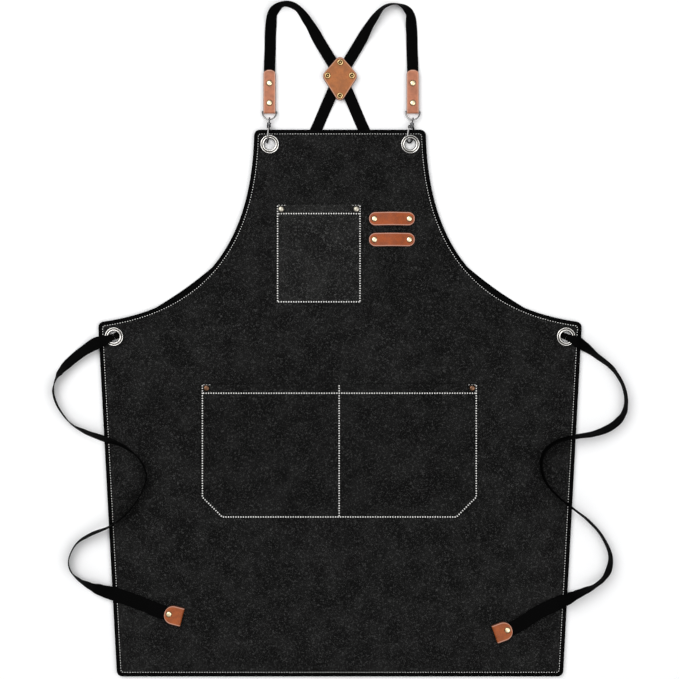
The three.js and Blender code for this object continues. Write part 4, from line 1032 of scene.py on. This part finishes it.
def make_tab(side):
    """Tab folded round the ring's bar: up the back, round a half turn, and up the front."""
    node = f"{side}_leather_tab"
    low, high = box_mm(node)
    steps = 30
    turn = BAR_CLEARANCE + LEATHER / 2
    bar_y = low[1] + BAR_CLEARANCE + LEATHER
    angle = np.linspace(-np.pi / 2, -3 * np.pi / 2, 13)
    legs = high[1] - (high[1] - bar_y) * (1 - (1 - np.linspace(0, 1, steps)) ** 1.25)
    back = np.stack([legs, np.full(steps, TAB_MIDDLE - turn)], axis=1)
    fold = np.stack([bar_y + turn * np.cos(angle), TAB_MIDDLE + turn * np.sin(angle)], axis=1)
    front = np.stack([legs[::-1], np.full(steps, TAB_MIDDLE + turn)], axis=1)
    line = np.vstack([back, fold[1:-1], front])
    path = np.stack([np.full(len(line), middle(node)[0]), line[:, 0], line[:, 1]], axis=1)
    from_end = np.where(line[:, 0] <= bar_y, 40, high[1] - line[:, 0])
    half = rounded_end(from_end, 8.5, 6)
    tab = leather_strip(f"{side}_tab_leather", path, (1, 0, 0), half, TAB_LEATHER, from_end)
    return settle(tab, "apron", "leather", node)


def kite_rows(low, high, waist_y, radius=7):
    """Heights and half widths of the kite-shaped patch, with its four corners rounded."""
    half = 25.6
    top, bottom = (0, high + 3.9), (0, low - 5.4)
    side, left = (half, waist_y), (-half, waist_y)
    right_half = np.vstack([
        arc_corner(left, top, side, radius, 9)[4:], arc_corner(top, side, bottom, radius, 9),
        arc_corner(side, bottom, left, radius, 9)[:5],
    ])
    dense = resample(right_half, 1.4)
    return dense[:, 1], np.maximum(dense[:, 0], 0)


def make_patch():
    """The two kites of leather that hold the crossing straps between them."""
    for layer in ("front", "back"):
        node = f"cross_patch_{layer}"
        low, high = box_mm(node)
        y, half = kite_rows(low[1], high[1], 369)
        path = np.stack([np.zeros_like(y), y, np.full(len(y), middle(node)[2])], axis=1)
        ends = np.minimum(high[1] - y, y - low[1]) + 0.2
        margin = np.maximum(ends * 0.75, 0)
        patch = leather_strip(f"strap_patch_{layer}", path, (1, 0, 0), half, PATCH_LEATHER, margin)
        settle(patch, "apron", "leather", node)


def make_pen_loops():
    """Two bridges: flat feet, and a span that stands off the cloth."""
    for level in ("upper", "lower"):
        node = f"{level}_pen_loop"
        low, high = box_mm(node)
        centre, half_length, half_width = (low + high) / 2, (high[0] - low[0]) / 2, (high[1] - low[1]) / 2
        share = np.sin(np.linspace(-1, 1, 61) * np.pi / 2)
        x = share * half_length
        span = half_length - 6
        z = ON_CLOTH + LEATHER / 2 + (high[2] - low[2] - LEATHER) * smoothstep(-span, 0, -np.abs(x))
        path = np.stack([centre[0] + x, np.full(61, centre[1]), z], axis=1)
        from_end = half_length - np.abs(x)
        half = rounded_end(from_end, half_width, half_width - 0.4)
        loop = leather_strip(f"{level}_pen_loop_leather", path, (0, 1, 0), half, LOOP_LEATHER,
                             from_end + 0.1)
        settle(loop, "apron", "leather", node)


def tip_frame(side):
    """Middle of a tie tip, the way its fold points and the way across it."""
    x, y, angle = TIPS[side]
    away = np.array([np.cos(np.radians(angle)), np.sin(np.radians(angle)), 0])
    return np.array([x, y, 0.0]), away, np.array([-away[1], away[0], 0])


def make_tie_tip(side):
    """End cap folded over the tie: rounded towards the tie on both layers, straight at the fold."""
    node = f"{side}_tie_tip"
    low, high = box_mm(node)
    origin, away, across = tip_frame(side)
    half = TIP_LENGTH / 2
    lower, upper = low[2] + LEATHER / 2, high[2] - LEATHER / 2
    turn = (upper - lower) / 2
    legs = -half + (2 * half - turn - 0.8) * (1 - np.cos(np.linspace(0, np.pi / 2, 24)))
    angle = np.linspace(-np.pi / 2, np.pi / 2, 9)
    fold = np.stack([legs[-1] + turn * np.cos(angle), (lower + upper) / 2 + turn * np.sin(angle)], axis=1)
    line = np.vstack([np.stack([legs, np.full(24, lower)], 1), fold[1:-1],
                      np.stack([legs[::-1], np.full(24, upper)], 1)])
    path = origin + line[:, :1] * away
    path[:, 2] = line[:, 1]
    back = np.clip(-line[:, 0] / half, 0, 0.9995)
    width = TIP_WIDTH / 2 * np.sqrt(1 - back ** 2.2)
    tip = leather_strip(f"{side}_tip_leather", path, across, width, TIP_LEATHER, line[:, 0] + half + 0.1)
    return settle(tip, "apron", "leather", node)


# ---- rivets and eyelets ----------------------------------------------------------------------
HEAD_HEIGHT = 1.6


def turned_piece(name, profile, place, segments, material):
    """A turned piece standing at an (x, y) place, with its uv measured from its axis."""
    vertices, faces = turned(profile, segments)
    moved = vertices + (place[0], place[1], 0)
    return weld(make_piece(name, moved, faces, from_axis(vertices), material))


def rivet_shank(low, base):
    """The back cap and the post that every rivet has, up to the underside of its head."""
    return [(0, low), (2.5, low), (3, low + 0.15), (3, low + 0.6), (1.2, low + 0.6), (1.2, base)]


def dome_profile(low, high):
    """Cap rivet: a low domed head with a turned rim."""
    base = high - HEAD_HEIGHT
    return rivet_shank(low, base) + [
        (4.0, base), (4.35, base + 0.12), (4.3, base + 0.3), (4.1, base + 0.36), (3.9, base + 0.32),
        (3.75, base + 0.5), (3.6, base + 0.95), (3.1, high - 0.35), (2.3, high - 0.12), (1.2, high - 0.02),
        (0, high)]


def tubular_profile(low, high):
    """Tubular rivet: a rolled ring with a sunk middle."""
    base = high - HEAD_HEIGHT
    return rivet_shank(low, base) + [
        (3.7, base), (4.2, base + 0.3), (4.25, base + 0.7), (3.9, base + 1.15), (3.3, base + 1.3),
        (2.6, base + 1.1), (2.2, base + 0.7), (1.9, base + 0.3), (0.9, base + 0.15), (0, base + 0.2)]


def make_rivet(node, profile, material, slot):
    """One rivet, as long as its own node."""
    low, high = box_mm(node)
    rivet = turned_piece(f"{node}_metal", profile(low[2], high[2]), (low + high) / 2, 40, material)
    return settle(rivet, "apron", slot, node)


def make_rivets():
    """Every rivet, with the head and metal that its place calls for."""
    for node in [name for name in frame["nodes"] if "rivet" in name]:
        if node.startswith("patch"):
            make_rivet(node, tubular_profile, TUBE_BRASS, "brass_rivets")
        elif node.startswith("waist"):
            make_rivet(node, dome_profile, COPPER, "copper_rivets")
        elif node.startswith("chest"):
            make_rivet(node, dome_profile, PALE_BRASS, "brass_rivets")
        else:
            make_rivet(node, dome_profile, BRASS, "brass_rivets")


def make_eyelets():
    """Rolled eyelets: an outer ring and an inner ring with a groove between, and a flat back washer."""
    for node in EYELETS:
        x, y, _ = middle(node)
        low, high = box_mm(node)
        base, top, back = ON_CLOTH, high[2], low[2]
        profile = [
            (EYELET_HOLE, back), (EYELET_HOLE + 0.9, back), (EYELET_HOLE + 0.9, base), (12.8, base),
            (13, base + 0.2), (12.9, base + 0.6), (12.6, top - 0.75), (12.15, top - 0.6), (11.7, top - 0.8),
            (11.4, base + 0.45), (11.1, base + 0.3), (10.7, base + 0.3), (10.4, base + 0.5),
            (10.0, top - 0.45), (9.5, top - 0.06), (9.0, top), (8.5, top - 0.15), (8.0, top - 0.7),
            (EYELET_HOLE + 0.25, base + 0.3),
            (EYELET_HOLE, base - 0.6), (EYELET_HOLE, back),
        ]
        ring = turned_piece(f"{node}_ring", profile, (x, y), 72, EYELET_NICKEL)
        settle(ring, "apron", "nickel", node)
        washer_node = node.replace("eyelet", "washer")
        inner, outer = EYELET_HOLE + 1.3, 12.2
        washer = [(inner, back), (outer - 0.2, back), (outer, back + 0.2), (outer, back + 0.7),
                  (inner, back + 0.7), (inner, back)]
        plate = turned_piece(f"{washer_node}_plate", washer, (x, y), 72, EYELET_NICKEL)
        settle(plate, "apron", "nickel", washer_node)


# ---- rings and snap hooks --------------------------------------------------------------------
RING_HALF_WIDTH, RING_DEPTH, RING_WIRE = 10, 12.6, 1.05
HOOK_WIRE, GATE_WIRE, EYE_WIRE = 1.3, 1.1, 1.0
HOOK_LENGTH, HOOK_SPAN = 32.5, 6.5
COLLAR_TOP, COLLAR_BOTTOM, COLLAR_RADIUS = 4.2, 10.2, 3.0
GATE_X, GATE_DOWN = 4.6, 11.3


def placed(vertices, origin, axes):
    """Points given in a local frame, put into the apron's own."""
    return np.asarray(origin, float) + np.asarray(vertices, float) @ np.asarray(axes, float)


def make_ring(side):
    """D-ring: a straight bar in the tab's fold and a bow below it."""
    bar = np.array(joint(f"{side}_ring_tilt")["pos_m"]) / MM
    eye = np.array(joint(f"{side}_hook_rock")["pos_m"]) / MM
    down = unit(eye - bar)
    t = np.linspace(0, np.pi, 40)
    bow = np.stack([RING_HALF_WIDTH * np.cos(t), RING_DEPTH * np.sin(t) ** 0.92], axis=1)
    straight = np.stack([np.linspace(-RING_HALF_WIDTH, RING_HALF_WIDTH, 16)[1:-1], np.zeros(14)], axis=1)
    line = resample(np.vstack([bow, straight]), 0.9, closed=True)
    points = bar + line[:, :1] * np.array([1.0, 0, 0]) + line[:, 1:] * down
    vertices, faces = round_wire(points, RING_WIRE, 14, closed=True)
    ring = make_piece(f"{side}_d_ring_wire", vertices, faces, None, NICKEL)
    weld(ring)
    return settle(ring, f"{side}_ring", "nickel", f"{side}_d_ring")


def hook_axes(side):
    """Rows are the hook's own x (towards the gate), y (the gate's pin) and z (up the swivel)."""
    z = unit(np.array(joint(f"{side}_hook_swivel")["axis"], float))
    y = unit(np.array(joint(f"{side}_gate_hinge")["axis"], float))
    return np.array([joint(f"{side}_hook_swivel")["pos_m"]]) / MM, np.stack([np.cross(y, z), y, z])


def make_eye(side):
    """Swivel eye: a loop on the ring, a stem through the collar and a riveted head below it."""
    origin, axes = hook_axes(side)
    swivel = axes[2]
    across = np.array([1.0, 0, 0])
    out = unit(np.cross(across, swivel))
    still = np.stack([unit(np.cross(out, swivel)), out, swivel])
    t = np.linspace(0, 2 * np.pi, 40, endpoint=False)
    radius = RING_WIRE + EYE_WIRE + 0.45
    loop = np.stack([0 * t, radius * np.cos(t), radius * np.sin(t)], axis=1)
    vertices, faces = round_wire(loop, EYE_WIRE, 12, closed=True)
    stem = [(0, -12.2), (1.5, -12.0), (1.8, -11.4), (1.5, -10.7), (1.05, -10.5), (1.05, -4.0),
            (1.5, -3.2), (0, -2.6)]
    parts = merged((vertices, faces), turned(stem, 24))
    eye = make_piece(f"{side}_swivel_eye_metal", placed(parts[0], origin, still), parts[1], None, HOOK_METAL)
    weld(eye)
    return settle(eye, f"{side}_eye", "hook_metal", f"{side}_swivel_eye")


def make_hook(side):
    """Cast hook: collar, shoulders down both sides, a fixed arm that swells at the bend, and hinge ears."""
    origin, axes = hook_axes(side)
    bend = HOOK_LENGTH - HOOK_SPAN
    t = np.linspace(0, np.pi, 22)
    arm = np.vstack([
        [(-1.9, 0, -8.2), (-3.6, 0, -9.1), (-5.4, 0, -10.7), (-6.4, 0, -13.2), (-6.5, 0, -17),
         (-6.5, 0, -21.5)],
        np.stack([-HOOK_SPAN * np.cos(t), 0 * t, -bend - HOOK_SPAN * np.sin(t)], axis=1),
    ])
    arm = resample(smooth_curve(arm, 4), 0.7)
    along = np.linspace(0, 1, len(arm))
    swell = 0.16 * np.sin(np.pi * np.clip(along * 1.15, 0, 1))
    girth = HOOK_WIRE * (0.92 + swell - 0.1 * smoothstep(0.85, 1, along))
    ears = [round_ear(offset) for offset in (-1.9, 1.9)]
    collar = [(1.5, -4.4), (2.6, -4.3), (3.0, -4.7), (3.02, -6.0), (2.75, -6.5), (2.75, -7.0), (3.05, -7.4),
              (3.0, -9.6), (2.5, -10.2), (1.5, -10.1), (1.5, -4.4)]
    shoulder = smooth_curve([(1.9, 0, -7.9), (3.2, 0, -8.5), (4.2, 0, -9.2)], 6)
    parts = merged(round_wire(arm, girth, 18), turned(collar, 36), round_wire(shoulder, 1.25, 16), *ears)
    hook = make_piece(f"{side}_hook_metal", placed(parts[0], origin, axes), parts[1], None, HOOK_METAL)
    weld(hook)
    return settle(hook, f"{side}_hook", "hook_metal", f"{side}_snap_hook")


def round_ear(offset):
    """Hinge ear: a rounded disc about the gate's pin, joined up to the collar's shoulder."""
    disc, faces = turned([(0, -0.4), (1.35, -0.4), (1.65, -0.2), (1.65, 0.2), (1.35, 0.4), (0, 0.4)], 28)
    lift = np.clip(disc[:, 1], 0, None) * 0.9
    points = np.stack([disc[:, 0] - 0.25 * lift, disc[:, 2], disc[:, 1] + lift], axis=1)
    return points + (GATE_X, offset, -GATE_DOWN), faces


def make_gate(side):
    """Spring gate: a barrel on the pin and a slim arm that closes on the hook's nose."""
    origin, axes = hook_axes(side)
    nose = HOOK_LENGTH - HOOK_SPAN
    arm = smooth_curve([(5.7, 0, -11.9), (6.3, 0, -13.6), (6.5, 0, -17.5), (6.5, 0, -nose + 0.8)], 10)
    arm = resample(arm, 0.7)
    girth = GATE_WIRE * (0.85 + 0.15 * np.sin(np.pi * np.linspace(0, 1, len(arm))))
    barrel, faces = turned([(0.9, -0.8), (1.4, -0.8), (1.5, -0.65), (1.5, 0.65), (1.4, 0.8), (0.9, 0.8),
                            (0.9, -0.8)], 28)
    barrel = np.stack([barrel[:, 0], barrel[:, 2], barrel[:, 1]], axis=1) + (GATE_X, 0, -GATE_DOWN)
    parts = merged(round_wire(arm, girth, 14), (barrel, faces))
    gate = make_piece(f"{side}_gate_metal", placed(parts[0], origin, axes), parts[1], None, NICKEL)
    weld(gate)
    return settle(gate, f"{side}_gate", "hook_metal", f"{side}_hook_gate")


def make_pin_and_spring(side):
    """Riveted hinge pin, and the small coil round it that shuts the gate."""
    origin, axes = hook_axes(side)
    pin, faces = turned([(0, -2.4), (0.75, -2.35), (0.9, -2.25), (0.6, -2.1), (0.6, 2.1), (0.9, 2.25),
                         (0.75, 2.35), (0, 2.4)], 20)
    pin = np.stack([pin[:, 0], pin[:, 2], pin[:, 1]], axis=1) + (GATE_X, 0, -GATE_DOWN)
    piece = make_piece(f"{side}_gate_pin_metal", placed(pin, origin, axes), faces, None, HOOK_METAL)
    weld(piece)
    settle(piece, f"{side}_hook", "hook_metal", f"{side}_gate_pin")
    t = np.linspace(0, 2 * np.pi * 2.5, 60)
    coil = np.stack([1.12 * np.cos(t), 0.9 + 0.45 * t / t[-1], 1.12 * np.sin(t)], axis=1)
    wire, faces = round_wire(coil + (GATE_X, 0, -GATE_DOWN), 0.1, 8)
    spring = make_piece(f"{side}_gate_spring_wire", placed(wire, origin, axes), faces, None, NICKEL)
    weld(spring)
    settle(spring, f"{side}_hook", "hook_metal", f"{side}_gate_spring")


# ---- straps ----------------------------------------------------------------------------------
def make_strap(side, tab_x, arch_x, run, cross_base):
    """One shoulder strap, from its tab to the waist eyelet on the other side."""
    vertices, faces, place, _ = webbing_band(strap_route(tab_x, arch_x, run, cross_base))
    strap = make_piece(f"{side}_strap_webbing", vertices, faces, place, WEBBING)
    weld(strap)
    return settle(strap, "apron", "webbing", f"{side}_shoulder_strap")


# ---- the apron -------------------------------------------------------------------------------
body = make_body()
make_binding()
make_edge_stitches()
chest, chest_sides, waist, waist_sides = make_pockets()
make_patch()
make_pen_loops()
make_rivets()
make_eyelets()
make_strap("left", -98.8, -79, 1, UPPER_STRAP)
make_strap("right", 101.9, 79, -1, LOWER_STRAP)
for side in ("left", "right"):
    make_tab(side)
    make_tie_tip(side)
    make_ring(side)
    make_eye(side)
    make_hook(side)
    make_gate(side)
    make_pin_and_spring(side)


def make_floor():
    """The backdrop that the apron lies on."""
    side = 3.0
    vertices = np.array([(-side, -side, 0), (side, -side, 0), (side, side, 0), (-side, side, 0)]) / MM
    vertices = vertices - (0, 0, 0.2)
    make_piece("studio_floor", vertices, [[0, 1, 2, 3]], None, floor_material(), smooth=False)


make_floor()
add_studio()
